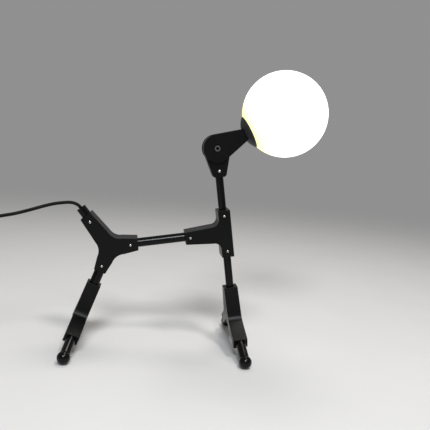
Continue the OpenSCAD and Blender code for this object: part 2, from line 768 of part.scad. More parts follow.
module joint_screws() color(nickel) {
    at_shoulder_screws() small_screw(joint_half, screw_sink, nut_sink);
    at_hip_screws() small_screw(joint_half, screw_sink, nut_sink);
}
module joint_nuts() color(zinc) {
    at_shoulder_screws() small_nut(joint_half, nut_sink);
    at_hip_screws() small_nut(joint_half, nut_sink);
}

// Forked leg bracket, drawn across the body and down the leg
function flipped(p) = [-p[0], p[1]];
module bracket_outline(top) {
    up = [sin(knee_slope), cos(knee_slope)];
    down = [sin(splay), cos(splay)];
    knee = [knee_half, knee_drop];
    centre = knee - up * knee_tangent + knee_fillet * [cos(knee_slope), -sin(knee_slope)];
    side_points = [
        [bracket_top_t / 2, 0], knee - up * knee_tangent, centre, knee + down * knee_tangent,
        [end_y, end_s], [in_y, in_s]
    ];
    scale([1, -1]) translate([0, top]) difference() {
        polygon(concat(
            side_points,
            [[0, crotch_s]],
            [for (k = [len(side_points) - 1 : -1 : 0]) flipped(side_points[k])]
        ));
        for (side = [-1, 1]) translate([side * centre[0], centre[1]]) circle(r = knee_fillet + fillet_bite);
    }
}
module leg_bracket(top, tube_d) {
    difference() {
        rotate([90, 0, 90]) linear_extrude(bracket_w, center = true) bracket_outline(top);
        along_z(tube_d / 2 + fit_gap, -top - leg_socket, 1 - top);
        for (side = [-1, 1]) foot_frame(top, side)
            along_z(rod_spigot_d / 2 + fit_gap, -lower_len - 1, rod_spigot_len - lower_len);
    }
}
module front_leg_bracket() color(black) body_frame() leg_bracket(front_top, front_leg_d);
module rear_leg_bracket() color(black) rear_frame() leg_bracket(rear_top, rear_leg_d);

// Rods and ball feet
module foot_rod(top, side) {
    foot_frame(top, side) {
        along_z(rod_spigot_d / 2, -lower_len - 1, rod_spigot_len - 0.1 - lower_len);
        along_z(rod_d / 2, ball_flat + seat_gap - ball_along, -lower_len - seat_gap);
        along_z(ball_spigot_d / 2, ball_flat - ball_spigot_len - ball_along, ball_flat + 1 - ball_along);
    }
}
module foot_ball(top, side) {
    foot_frame(top, side) translate([0, 0, -ball_along]) difference() {
        sphere(r = ball_r);
        translate([-ball_d, -ball_d, ball_flat]) cube(2 * ball_d);
        along_z(ball_spigot_d / 2 + fit_gap, ball_flat - ball_spigot_len - 0.1, ball_flat + 1);
    }
}
module front_near_rod() color(gloss_black) body_frame() foot_rod(front_top, -1);
module front_far_rod() color(gloss_black) body_frame() foot_rod(front_top, 1);
module rear_near_rod() color(gloss_black) rear_frame() foot_rod(rear_top, -1);
module rear_far_rod() color(gloss_black) rear_frame() foot_rod(rear_top, 1);
module front_near_ball() color(gloss_black) body_frame() foot_ball(front_top, -1);
module front_far_ball() color(gloss_black) body_frame() foot_ball(front_top, 1);
module rear_near_ball() color(gloss_black) rear_frame() foot_ball(rear_top, -1);
module rear_far_ball() color(gloss_black) rear_frame() foot_ball(rear_top, 1);

// Tail sleeve and cord grommet
module tail_sleeve() color(black) tail_frame() difference() {
    along_x(tail_d / 2, tail_from + 0.1, tail_to);
    along_x(tail_in_r, tail_from - 1, tail_to + 1);
    along_x(tail_d / 2 - tail_mouth_wall, grommet_seat, tail_to + 1);
    translate([tail_screw_at, 0, 0]) along_y(screw_d / 2 + hole_gap, -joint_half, joint_half);
}
module cord_grommet() color(rubber_black) tail_frame() difference() {
    union() {
        along_x(tail_in_r - fit_gap, grommet_from, grommet_seat + 0.5);
        along_x(grommet_collar_d / 2, grommet_seat + seat_gap, grommet_seat + grommet_collar_t);
        translate([grommet_seat + grommet_collar_t, 0, 0]) rotate([0, 90, 0])
            cylinder(r1 = cord_r + 1.6, r2 = cord_r + 0.8, h = grommet_tip);
    }
    along_x(cord_r + fit_gap, grommet_from - 1, grommet_to + 1);
    along_x(lead_off + lead_r, grommet_from - 1, cord_from);
}

// Lead inside the body, from the cord in the tail to the tongue
function tail_point(s, across) = let (a = hip_arm_angle)
    [s * cos(a) + across * sin(a) - spine_len, 0, s * sin(a) - across * cos(a)];
hip_bend_at = (lead_off + lead_bend) / sin(notch_angle);
hip_bend_mid = [hip_bend_at * cos(notch_angle) - spine_len, 0, hip_bend_at * sin(notch_angle)];
shoulder_bend_mid = [-lead_off - lead_bend, 0, lead_off + lead_bend];
loop_base = [-lead_off, 0, neck_len - loop_drop];
lead_exit = tongue_t / 2 + 0.4;
body_lead_route = concat(
    [tail_point(cord_from - 0.1, 0), tail_point(cord_from - lead_bend / 8, 0)],
    [for (k = [0.375, 0.69, 1]) tail_point(cord_from - k * lead_bend, lead_off * sin(90 * k) * sin(90 * k))],
    [tail_point(2.5 * lead_bend, lead_off)],
    bend_points(hip_bend_mid, lead_bend, 180 + hip_arm_angle / 4, 270, 6),
    [[-spine_len / 2, 0, lead_off]],
    bend_points(shoulder_bend_mid, lead_bend, 270, 360, 8),
    [[-lead_off, 0, neck_len / 2], loop_base - [0, 0, exit_bend]],
    [for (a = [20 : 20 : 80]) loop_base + exit_bend * [0, 1 - cos(a), sin(a) - 1]],
    [loop_base + [0, exit_bend, 0], loop_base + [0, lead_exit, 0]]
);
module body_lead() color(rubber_black) body_frame() swept_tube(body_lead_route, lead_r, 8);

// Head fork with its pivot, washers and nut
module fork_sides() {
    half = fork_r / cos(fork_taper) - fork_len * tan(fork_taper);
    meet = fork_r - tangent_bite;
    polygon([
        [0, 0],
        [meet * sin(fork_taper), meet * cos(fork_taper)], [fork_len, half],
        [fork_len, -half], [meet * sin(fork_taper), -meet * cos(fork_taper)]
    ]);
}
module head_fork() color(black) head_frame() difference() {
    union() {
        along_y(fork_r, -fork_half, fork_half);
        slab(-fork_half, fork_half) fork_sides();
    }
    translate([-2 * fork_r, -slot_half, -2 * fork_r])
        cube([2 * fork_r + slot_end, 2 * slot_half, 4 * fork_r]);
    along_y(pivot_d / 2 + fit_gap, -fork_t, fork_t);
    along_y(pivot_recess_d / 2, -fork_t, pivot_recess - fork_half);
    hex_y(pivot_nut_af + 2 * pocket_gap, fork_half - pivot_nut_sink, fork_t);
    difference() {
        along_y(loop_r + lead_r + groove_gap, slot_half - lead_r, loop_y + lead_r + groove_gap);
        along_y(loop_r - lead_r - groove_gap, slot_half - lead_d, fork_t);
    }
    translate([0, slot_half - lead_r, loop_r - lead_r - groove_drop])
        cube([slot_end - 1.5 * lead_d, loop_y - slot_half + lead_d + groove_gap,
            lead_d + groove_drop + groove_gap]);
    along_x(nipple_d / 2 + fit_gap, slot_end - 1, fork_len + 1);
}
module pivot_bolt() color(zinc) head_frame() difference() {
    seat = pivot_recess - fork_half - seat_gap;
    union() {
        along_y(pivot_head_d / 2, seat - pivot_head_h, seat);
        along_y(pivot_d / 2, seat - 0.5, fork_half - pivot_nut_sink + pivot_nut_t + 0.4);
    }
    hex_y(pivot_socket, seat - pivot_head_h - 1, seat - 0.8);
}
module pivot_nut() color(zinc) head_frame() difference() {
    from = fork_half - pivot_nut_sink + seat_gap;
    hex_y(pivot_nut_af, from, from + pivot_nut_t);
    along_y(pivot_d / 2 + 0.02, 0, fork_t);
}
module friction_washers() color(white) head_frame() for (side = [-1, 1]) difference() {
    mid = side * (tongue_t / 2 + washer_t / 2);
    along_y(washer_d / 2, mid - washer_t / 2 + seat_gap, mid + washer_t / 2 - seat_gap);
    along_y(pivot_d / 2 + fit_gap, mid - 2, mid + 2);
}

// Collar, globe and lamp along the head
module collar_nipple() color(brass) head_frame() difference() {
    along_x(nipple_d / 2, nipple_from, nipple_to);
    along_x(nipple_bore / 2, nipple_from - 1, nipple_to + 1);
}
module nipple_nut() color(brass) head_frame() difference() {
    hex_x(nipple_nut_af, slot_end - nipple_nut_t - seat_gap, slot_end - seat_gap);
    along_x(nipple_d / 2 + fit_gap, nipple_from - 5, slot_end + 1);
}
module globe_collar() color(black) head_frame() difference() {
    union() {
        difference() {
            translate([dish_centre, 0, 0]) sphere(r = dish_r);
            difference() {
                translate([dish_centre, 0, 0]) sphere(r = dish_in_r);
                along_x(dish_r, 0, floor_at);
            }
            translate([rim_at, -2 * dish_r, -2 * dish_r]) cube(4 * dish_r);
            translate([fork_len + seat_gap - 4 * dish_r, -2 * dish_r, -2 * dish_r]) cube(4 * dish_r);
        }
        difference() {
            along_x(boss_d / 2, floor_at - 0.2, floor_at + boss_h);
            along_x(boss_d / 2 - boss_wall, floor_at - 1, floor_at + boss_h + 1);
        }
    }
    along_x(nipple_d / 2 + fit_gap, 0, floor_at + 1);
}
module globe_ring() color(white) head_frame() difference() {
    union() {
        along_x(ring_out_r, ring_from, ring_from + ring_h);
        along_x(lip_r, lip_at, lip_at + ring_lip_t);
    }
    along_x(ring_in_r, ring_from - 1, ring_from + ring_h + 1);
}
module globe() color(white) head_frame() difference() {
    translate([globe_at, 0, 0]) sphere(r = globe_r);
    translate([globe_at, 0, 0]) sphere(r = glass_in_r);
    along_x(globe_hole_d / 2, 0, globe_at);
}
module at_bulb_pins() {
    for (side = [-1, 1]) translate([0, side * bulb_pin_gap / 2, 0]) children();
}
module lampholder() color(white) head_frame() difference() {
    along_x(holder_d / 2, holder_at, holder_end);
    along_x(nipple_d / 2 + fit_gap, holder_at - 1, nipple_to + 0.1);
    at_bulb_pins() along_x(bulb_pin_d / 2 + fit_gap, holder_end - bulb_pin_len - 0.2, holder_end + 1);
}
module bulb_base() color(white) head_frame() difference() {
    translate([holder_end + seat_gap, -bulb_base_w / 2, -bulb_base_t / 2])
        cube([bulb_base_h, bulb_base_w, bulb_base_t]);
    at_bulb_pins() along_x(bulb_pin_d / 2 + 0.02, holder_end - 1, holder_end + bulb_base_h - 2);
}
module bulb_pins() color(nickel) head_frame()
    at_bulb_pins() along_x(bulb_pin_d / 2, holder_end - bulb_pin_len, holder_end + bulb_base_h - 2.1);
module bulb_capsule() color(white) head_frame() {
    from = holder_end + bulb_base_h + 2 * seat_gap;
    along_x(bulb_d / 2, from, from + bulb_len - bulb_d / 2);
    translate([from + bulb_len - bulb_d / 2, 0, 0]) sphere(r = bulb_d / 2);
}

// Lead inside the head: one slack loop around the pivot, then through the nipple
head_lead_route = concat(
    [for (a = [10 : 20 : 290]) [loop_r * sin(a - 290), loop_y, loop_r * cos(a - 290)]],
    [
        [slot_end / 6, loop_y, loop_r], [slot_end / 3, loop_y, 0.96 * loop_r],
        [0.486 * slot_end, 0.98 * loop_y, 0.84 * loop_r], [0.61 * slot_end, 0.77 * loop_y, 0.61 * loop_r],
        [0.722 * slot_end, 0.42 * loop_y, 0.34 * loop_r], [0.82 * slot_end, 0.16 * loop_y, 0.14 * loop_r],
        [slot_end - nipple_nut_t, 0.05 * loop_y, 0.04 * loop_r], [slot_end, 0, 0],
        [nipple_to - nipple_nut_t, 0, 0], [nipple_to, 0, 0]
    ]
);
module head_lead() color(rubber_black) head_frame() swept_tube(head_lead_route, lead_r, 8);

// Cord from the tail to the switch
function body_point(p) = [
    shoulder_x + p[0] * cos(spine_angle) - p[2] * sin(spine_angle), p[1],
    shoulder_z + p[0] * sin(spine_angle) + p[2] * cos(spine_angle)
];
module cord_tail() color(rubber_black) swept_tube(smooth_route(concat(
    [for (s = [cord_from, cord_from + 6, grommet_to - 1.5]) body_point(tail_point(s, 0))],
    cord_route,
    [switch_in, switch_in + [0, cord_end_in - 0.1, 0]]
), 2), cord_r, 8);

// Cord switch
module switch_plan() {
    round_r = switch_w / 2;
    square([switch_w, switch_len - switch_w], center = true);
    for (side = [-1, 1]) translate([0, side * (switch_len / 2 - round_r)]) circle(r = round_r);
}
module switch_cuts() {
    low = switch_floor - switch_h / 2;
    translate([-hollow_w / 2, -hollow_len / 2, low]) cube([hollow_w, hollow_len, hollow_h - low]);
    along_y(cord_r + fit_gap, -switch_len, switch_len);
    translate([-rocker_w / 2 - side_gap, -rocker_len / 2 - side_gap, 0])
        cube([rocker_w + 2 * side_gap, rocker_len + 2 * side_gap, switch_h]);
    translate([0, 0, rocker_axle_h]) along_x(rocker_axle_d / 2 + run_gap,
        -rocker_w / 2 - rocker_axle_len - side_gap, rocker_w / 2 + rocker_axle_len + side_gap);
    for (side = [-1, 1]) translate([side * switch_screw_x, side * switch_screw_y, 0]) {
        along_z(switch_screw_d / 2 + fit_gap, -switch_h,
            switch_screw_len + switch_head_h + 0.2 - switch_h / 2);
        along_z(switch_head_d / 2 + hole_gap, -switch_h, switch_head_h - switch_h / 2);
    }
}
module switch_half(from, to) {
    translate(switch_at) difference() {
        translate([0, 0, from]) linear_extrude(to - from) switch_plan();
        switch_cuts();
    }
}
module switch_lower_shell() color(black) switch_half(-switch_h / 2, -seat_gap);
module switch_upper_shell() color(black) switch_half(seat_gap, switch_h / 2);
module switch_rocker() color(gloss_black) translate(switch_at + [0, 0, rocker_axle_h]) {
    half = rocker_len / 2;
    rise = switch_h / 2 - rocker_axle_h;
    rotate([rocker_tilt, 0, 0]) {
        rotate([90, 0, 90]) linear_extrude(rocker_w, center = true) intersection() {
            circle(r = half);
            polygon([[-half, -1.8], [half, -1.8], [half, rise], [0, rise - 1.2], [-half, rise]]);
        }
        along_x(rocker_axle_d / 2, -rocker_w / 2 - rocker_axle_len, rocker_w / 2 + rocker_axle_len);
    }
}
module switch_contacts() color(brass) translate(switch_at) for (side = [-1, 1])
    translate([-contact_w / 2, side * contact_mid - contact_len / 2, switch_floor + seat_gap - switch_h / 2])
        cube([contact_w, contact_len - 0.1, contact_h + 1.8]);
module switch_screws() color(nickel) translate(switch_at) for (side = [-1, 1])
    translate([side * switch_screw_x, side * switch_screw_y, 0]) difference() {
        union() {
            along_z(switch_head_d / 2, 0.2 - switch_h / 2, switch_head_h - seat_gap - switch_h / 2);
            along_z(switch_screw_d / 2, 1 - switch_h / 2, switch_head_h + switch_screw_len - switch_h / 2);
        }
        translate([-3, -0.4, -switch_h / 2 - 1]) cube([6, 0.8, 1.9]);
    }

// Cord from the switch to the coil
coil_start = coil_at + [-cord_d, coil_outer_r, 0];
module cord_link() color(rubber_black) swept_tube(smooth_route(concat(
    [switch_out - [0, cord_end_in - 0.1, 0], switch_out],
    link_route,
    [coil_start - [3 * cord_d, 0, 0], coil_start - [1.5 * cord_d, 0, 0], coil_start - [0.05, 0, 0]]
), 3), cord_r, 8, [0, 0, 1]);

// Coil: layers that spiral in and out, each climbing in the half turn where the spiral turns back
function coil_radius(a) =
    let (layer = min(floor(a / coil_turns), coil_layers - 1), part = a - layer * coil_turns)
    layer % 2 == 0 ? coil_outer_r - coil_pitch * part : coil_inner_r + coil_pitch * part;
function coil_climb(a) = coil_pitch * [for (j = 1, s = 0; j <= coil_layers; j = j + 1,
    s = s + min(max((a - (j - 1) * coil_turns + 0.25) / 0.5, 0), 1)) s][coil_layers - 1];
function coil_point(a) = let (turn = 90 - 360 * a)
    coil_at + [coil_radius(a) * cos(turn), coil_radius(a) * sin(turn), coil_climb(a)];
coil_steps = round(24 * coil_total);
coil_wound = [for (i = [0 : coil_steps]) coil_point(coil_total * i / coil_steps)];
coil_finish = coil_wound[coil_steps] - [0, cord_d, 0];
coil_route = concat([coil_start], coil_wound, [coil_finish]);
coil_least = min([
    for (i = [0 : coil_steps]) for (j = [i + 14 : 1 : coil_steps]) norm(coil_wound[i] - coil_wound[j])
]);
echo(coil_least_gap = coil_least - cord_d);
module cord_coil() color(rubber_black) swept_tube(coil_route, cord_r, 6, [0, 0, 1]);
module coil_tie() color(black) translate(coil_at - [(coil_inner_r + coil_outer_r) / 2, 0, 0]) {
    wide = coil_pitch * coil_turns + cord_d + 0.6;
    high = coil_top + cord_d + 0.4;
    translate([0, 0, coil_top / 2]) rotate([90, 0, 0]) linear_extrude(tie_w, center = true) difference() {
        square([wide + 2 * tie_t, high + 2 * tie_t - 0.2], center = true);
        square([wide, high - 0.2], center = true);
    }
}

// Cord from the coil to the plug
module cord_end() color(rubber_black) swept_tube(smooth_route(concat(
    [coil_finish - [0, 0.05, 0], coil_finish - [0, 5, 0]],
    end_route,
    [plug_at, plug_at - [0, plug_cord, 0]]
), 3), cord_r, 8, [0, 0, 1]);

// Two-pin plug
module plug_plan() {
    half = plug_w / 2;
    neck = plug_neck_w / 2;
    polygon([
        [-neck, 0], [neck, 0], [half, -plug_slope],
        [half, -plug_len], [-half, -plug_len], [-half, -plug_slope]
    ]);
}
module plug_face() {
    half = plug_w / 2;
    high = plug_h / 2;
    flat = half - plug_chamfer;
    side = plug_side_h / 2;
    polygon([
        [-half, -side], [-flat, -high], [flat, -high], [half, -side],
        [half, side], [flat, high], [-flat, high], [-half, side]
    ]);
}
module at_plug_pins() {
    for (side = [-1, 1]) translate(plug_at + [side * plug_pin_gap / 2, 0, 0]) children();
}
module plug_body() color(rubber_black) difference() {
    union() {
        intersection() {
            translate(plug_at - [0, plug_relief, plug_h / 2]) linear_extrude(plug_h) plug_plan();
            translate(plug_at) slab(-plug_relief - plug_len, -plug_relief) plug_face();
        }
        translate(plug_at) rotate([90, 0, 0])
            cylinder(r1 = cord_r + 0.9, r2 = cord_r + 3, h = plug_relief + 0.5);
    }
    translate(plug_at) along_y(cord_r + fit_gap, -plug_cord - 0.1, 1);
    at_plug_pins() along_y(plug_root_d / 2 + seat_gap, plug_front - 1, plug_front + plug_pin_root + 0.1);
}
module plug_pins() color(nickel) at_plug_pins() {
    along_y(plug_pin_d / 2, plug_front - plug_pin_len, plug_front + 1);
    along_y(plug_root_d / 2, plug_front, plug_front + plug_pin_root);
}

shoulder_near_shell();
shoulder_far_shell();
hip_near_shell();
hip_far_shell();
spine_tube();
neck_tube();
front_leg_tube();
rear_leg_tube();
neck_bracket();
front_leg_bracket();
rear_leg_bracket();
front_near_rod();
front_far_rod();
rear_near_rod();
rear_far_rod();
front_near_ball();
front_far_ball();
rear_near_ball();
rear_far_ball();
joint_screws();
joint_nuts();
bracket_screw();
bracket_nut();
tail_sleeve();
cord_grommet();
body_lead();
head_fork();
pivot_bolt();
pivot_nut();
friction_washers();
collar_nipple();
nipple_nut();
globe_collar();
globe_ring();
globe();
lampholder();
bulb_base();
bulb_pins();
bulb_capsule();
head_lead();
cord_tail();
switch_lower_shell();
switch_upper_shell();
switch_rocker();
switch_contacts();
switch_screws();
cord_link();
cord_coil();
coil_tie();
cord_end();
plug_body();
plug_pins();
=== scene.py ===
# %% [markdown]
# # Dressing a table lamp that stands like a dog
#
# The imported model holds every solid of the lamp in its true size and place. This lesson keeps
# those solids and adds what the eye needs: the camera of the photograph, the mains lead as one
# round jacket, turned screws, small moulded details, and a finish with some life for each surface.

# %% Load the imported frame
import math

import bmesh
import bpy
from mathutils import Matrix, Vector


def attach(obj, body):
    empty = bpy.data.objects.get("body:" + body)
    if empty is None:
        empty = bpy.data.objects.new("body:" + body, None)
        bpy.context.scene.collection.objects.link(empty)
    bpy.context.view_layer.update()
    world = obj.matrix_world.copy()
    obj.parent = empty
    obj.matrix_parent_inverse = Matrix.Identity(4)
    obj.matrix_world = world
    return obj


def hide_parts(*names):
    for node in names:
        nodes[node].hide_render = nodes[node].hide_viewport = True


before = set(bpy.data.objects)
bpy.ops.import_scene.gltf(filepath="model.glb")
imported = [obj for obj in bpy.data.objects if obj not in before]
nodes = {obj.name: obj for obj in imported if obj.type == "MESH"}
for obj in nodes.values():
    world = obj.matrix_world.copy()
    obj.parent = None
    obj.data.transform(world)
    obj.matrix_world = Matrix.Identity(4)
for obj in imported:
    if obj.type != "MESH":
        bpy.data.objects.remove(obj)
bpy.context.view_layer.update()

MM = 0.001

# %% [markdown]
# ## The camera
#
# A photograph is matched by its camera first, because every later comparison depends on it. The
# place, the three turns and the focal length here came from fitting the joints, the feet and the
# globe of the lamp to their places in the photograph. The focal length is in pixels of a picture
# that is 430 pixels wide, so it becomes millimetres through the sensor's width.

# %% Camera
FRAME_PX = 430
FOCAL_PX = 573.98
SENSOR_MM = 36
NEAREST_SEEN = 0.01
CAMERA_AT = Vector((-0.08207, -0.79675, 0.29427))
YAW, PITCH, ROLL = (math.radians(a) for a in (-7.690, 7.403, 4.401))

forward = Vector((
    -math.sin(YAW) * math.cos(PITCH),
    math.cos(YAW) * math.cos(PITCH),
    -math.sin(PITCH),
))
level = Vector((math.cos(YAW), math.sin(YAW), 0))
upright = level.cross(forward)
right = math.cos(ROLL) * level + math.sin(ROLL) * upright
up = math.cos(ROLL) * upright - math.sin(ROLL) * level
turned = Matrix((right, up, -forward)).transposed().to_4x4()

camera = bpy.data.objects.new("camera", bpy.data.cameras.new("camera"))
camera.data.sensor_width = SENSOR_MM
camera.data.lens = FOCAL_PX / FRAME_PX * SENSOR_MM
camera.data.clip_start = NEAREST_SEEN
camera.matrix_world = Matrix.Translation(CAMERA_AT) @ turned
bpy.context.collection.objects.link(camera)
bpy.context.scene.camera = camera
print(f"lens {camera.data.lens:.1f} mm, looking along {tuple(round(x, 3) for x in forward)}")

# %% [markdown]
# ## A short way to write node trees
#
# Node trees grow long when each node and link takes its own lines. Two small classes shorten them.
# A Graph adds any node from its type, its settings and its sockets. A Signal is a socket that takes
# part in Python arithmetic, so that `1 - mask` adds the Math node by itself. Vectors have a method
# of their own, because a Math node would make them a single number.

# %% Graph and Signal
class Signal:
    """A socket that does arithmetic by adding Math nodes."""

    def __init__(self, graph, socket):
        self.graph, self.socket = graph, socket

    def math(self, operation, first, second=0.0, clamp=False):
        settings = {"operation": operation, "use_clamp": clamp}
        return self.graph.node("ShaderNodeMath", settings, {0: first, 1: second})

    def __add__(self, other):
        return self.math("ADD", self, other)

    __radd__ = __add__

    def __sub__(self, other):
        return self.math("SUBTRACT", self, other)

    def __rsub__(self, other):
        return self.math("SUBTRACT", other, self)

    def __mul__(self, other):
        return self.math("MULTIPLY", self, other)

    __rmul__ = __mul__

    def __truediv__(self, other):
        return self.math("DIVIDE", self, other)

    def __pow__(self, other):
        return self.math("POWER", self, other)

    def clamped(self):
        return self.math("ADD", self, 0.0, clamp=True)

    def sine(self):
        return self.math("SINE", self)


class Graph:
    """A node tree that takes a node as its type, its settings and its sockets."""

    def __init__(self, tree):
        self.tree = tree

    def node(self, kind, settings=None, sockets=None, output=0):
        made = self.tree.nodes.new(kind)
        for key, value in (settings or {}).items():
            setattr(made, key, value)
        for key, value in (sockets or {}).items():
            if isinstance(value, Signal):
                self.tree.links.new(value.socket, made.inputs[key])
            else:
                made.inputs[key].default_value = value
        return Signal(self, made.outputs[output]) if made.outputs else made

    def vector(self, operation, first, second=None):
        """Vector Math, which gives a number for a product or a length."""
        sockets = {0: first} if second is None else {0: first, 1: second}
        output = "Value" if operation in ("DOT_PRODUCT", "LENGTH") else "Vector"
        return self.node("ShaderNodeVectorMath", {"operation": operation}, sockets, output)


print("Graph and Signal are ready")

# %% [markdown]
# ## Growing a piece with Geometry Nodes
#
# What follows a path or repeats is grown by a Geometry Nodes tree. The tree works on a carrier
# object, and the evaluated result is copied into a plain mesh, because the finished piece has to
# stand without its modifier. The inputs are set by their identifiers before anything is evaluated.

# %% A helper that grows a piece
def new_tree(name, inputs):
    """An empty Geometry Nodes tree with a geometry input, named inputs and a geometry output."""
    tree = bpy.data.node_groups.new(name, "GeometryNodeTree")
    tree.interface.new_socket("Geometry", in_out="INPUT", socket_type="NodeSocketGeometry")
    for label, kind in inputs.items():
        tree.interface.new_socket(label, in_out="INPUT", socket_type=kind)
    tree.interface.new_socket("Geometry", in_out="OUTPUT", socket_type="NodeSocketGeometry")
    graph = Graph(tree)
    entry = tree.nodes.new("NodeGroupInput")
    named = {socket.name: Signal(graph, socket) for socket in entry.outputs if socket.name}
    return tree, graph, named


def close_tree(graph, shape, material):
    """The last nodes of every tree: real geometry, its material and the output."""
    real = graph.node("GeometryNodeRealizeInstances", {}, {"Geometry": shape})
    dressed = graph.node("GeometryNodeSetMaterial", {}, {"Geometry": real, "Material": material})
    graph.node("NodeGroupOutput", {}, {"Geometry": dressed})


def grow(name, base, tree, values):
    """A new object with the plain mesh that a tree makes of a base mesh."""
    carrier = bpy.data.objects.new(name + "_carrier", base)
    bpy.context.collection.objects.link(carrier)
    modifier = carrier.modifiers.new("grow", "NODES")
    modifier.node_group = tree
    for item in tree.interface.items_tree:
        if item.in_out == "INPUT" and item.name in values:
            modifier[item.identifier] = values[item.name]
    evaluated = carrier.evaluated_get(bpy.context.evaluated_depsgraph_get())
    piece = bpy.data.objects.new(name, bpy.data.meshes.new_from_object(evaluated))
    piece.data.name = name
    bpy.data.objects.remove(carrier)
    bpy.context.collection.objects.link(piece)
    print(f"{name}: {len(piece.data.polygons)} faces")
    return piece


def point_mesh(name, points, joined):
    """A mesh of loose points, or of points joined into one line."""
    mesh = bpy.data.meshes.new(name)
    edges = [(i, i + 1) for i in range(len(points) - 1)] if joined else []
    mesh.from_pydata([tuple(p) for p in points], edges, [])
    return mesh


print("growing is ready")

# %% [markdown]
# ## The route of the mains lead
#
# The lead leaves the grommet in the tail, bends over at once and sags out of the picture to a cord
# switch on the table. From there a short link runs to a coil, in which the spare length is put
# away, and a last end climbs down to the plug. The points are those of the solid model, in
# millimetres, and a Catmull-Rom curve joins them smoothly.

# %% Route points
def way(degrees):
    """A direction in the lamp's own plane, by its angle from +X towards +Z."""
    angle = math.radians(degrees)
    return Vector((math.cos(angle), 0, math.sin(angle)))


HIP = Vector((-117.421, 0, 138.112))
TAIL_WAY = way(130)
LEAD_STATIONS = (54, 60, 64.5)
SWITCH = Vector((-392, 24, 8))
SWITCH_HALF = Vector((0, 29, 0))
COIL = Vector((-335, 47.5, 2.95))
PLUG = Vector((-303.75, 0, 6.9))
LEAD_D = 4.5
INTO_SWITCH = Vector((0, 9.9, 0))
INTO_PLUG = Vector((0, 8, 0))

TAIL_STEPS, WOUND_STEPS = 5, 6
TAIL_POINTS = [
    (-163.3, 0, 191.9), (-167.4, -0.1, 194.1), (-171.9, -0.9, 195.3), (-176.6, -2.3, 195.6),
    (-182.1, -4.3, 195.2), (-188.6, -6.8, 194.4), (-195.6, -9.5, 193.2), (-206.6, -14, 190.3),
    (-221.6, -20, 185.5), (-240.6, -28, 180), (-258.6, -36, 176.5), (-276.6, -44, 171.5),
    (-292.4, -51, 163.6), (-306, -56, 151.8), (-316.6, -60, 136.5), (-324.4, -62, 118),
    (-330.2, -63, 97.4), (-335, -62, 76.7), (-340.5, -59.5, 57), (-348, -55, 39.5),
    (-358, -48, 24.5), (-369, -40.5, 14.5), (-378.5, -34, 9.8), (-385.5, -27.5, 8.2),
    (-390, -20.5, 8), (-392, -12.5, 8),
]
LINK_POINTS = [
    (-391.9, 58, 8), (-390.6, 64.5, 7.7), (-387.2, 70.4, 7.2), (-382, 74.8, 6.6),
    (-375.5, 77.2, 5.9), (-368, 77.5, 5), (-360.5, 77.5, 4),
]
END_POINTS = [
    (-303.75, 32, 17.1), (-303.75, 26.5, 15.2), (-303.75, 21, 12.4), (-303.75, 15.5, 9.7),
    (-303.75, 10, 7.7), (-303.75, 4.5, 6.9),
]


def smooth_route(points, steps):
    """A Catmull-Rom curve through the points, with that many steps between neighbours."""
    padded = [points[0], *points, points[-1]]
    route = []
    for a, b, c, d in zip(padded, padded[1:], padded[2:], padded[3:]):
        for t in (k / steps for k in range(steps)):
            bend = (2 * a - 5 * b + 4 * c - d) * t + (3 * b - a - 3 * c + d) * t * t
            route.append(b + (c - a + bend) * t / 2)
    return [*route, points[-1]]


def length_of(route):
    return sum((b - a).length for a, b in zip(route, route[1:]))


tail_line = [HIP + s * TAIL_WAY for s in LEAD_STATIONS] + [Vector(p) for p in TAIL_POINTS]
tail_line += [SWITCH - SWITCH_HALF, SWITCH - SWITCH_HALF + INTO_SWITCH]
tail_route = [p * MM for p in smooth_route(tail_line, TAIL_STEPS)]
print(f"tail to switch: {length_of(tail_route):.3f} m in {len(tail_route)} points")

# %% [markdown]
# The coil follows a rule, so it is worked out instead of drawn: four layers of two turns, which
# spiral in and out by turns. Each climbs one pitch in the half turn where the spiral turns back.

# %% Coil rule and wound route
COIL_IN, COIL_PITCH, COIL_TURNS, COIL_LAYERS = 20, 5, 2, 4
COIL_OUT = COIL_IN + COIL_PITCH * COIL_TURNS
QUARTER_TURN, HALF_TURN = 0.25, 0.5
COIL_END = COIL_TURNS * COIL_LAYERS + QUARTER_TURN
STEPS_PER_TURN = 48
BEFORE_COIL = (13.5, 6.75, 0)
AFTER_COIL = Vector((0, 5, 0))


def coil_point(turns):
    layer = min(int(turns // COIL_TURNS), COIL_LAYERS - 1)
    part = COIL_PITCH * (turns - layer * COIL_TURNS)
    radius = COIL_IN + part if layer % 2 else COIL_OUT - part
    starts = [COIL_TURNS * k - QUARTER_TURN for k in range(1, COIL_LAYERS)]
    climb = COIL_PITCH * sum(min(max((turns - s) / HALF_TURN, 0), 1) for s in starts)
    angle = math.pi / 2 - 2 * math.pi * turns
    return COIL + Vector((radius * math.cos(angle), radius * math.sin(angle), climb))


coil_steps = round(STEPS_PER_TURN * COIL_END)
wound = [coil_point(COIL_END * k / coil_steps) for k in range(coil_steps + 1)]
coil_start = wound[0] - Vector((LEAD_D, 0, 0))
coil_finish = wound[-1] - Vector((0, LEAD_D, 0))

link_line = [SWITCH + SWITCH_HALF - INTO_SWITCH, SWITCH + SWITCH_HALF]
link_line += [Vector(p) for p in LINK_POINTS]
link_line += [coil_start - Vector((d, 0, 0)) for d in BEFORE_COIL]
end_line = [coil_finish, coil_finish - AFTER_COIL, *(Vector(p) for p in END_POINTS)]
end_line += [PLUG, PLUG - INTO_PLUG]
wound_route = smooth_route(link_line, WOUND_STEPS) + wound + smooth_route(end_line, WOUND_STEPS)
wound_route = [p * MM for p in wound_route]
print(f"switch to plug: {length_of(wound_route):.3f} m in {len(wound_route)} points")

# %% [markdown]
# ## The lead's jacket
#
# A round flex is a circle swept along its route. Two twisted cores lie under the jacket and show
# through it as a faint long helix, so the tree stores how far along and how far around each point
# lies, and the jacket's finish turns the two into that helix. Without them the helix would have to
# come from place alone, and would break at every bend.

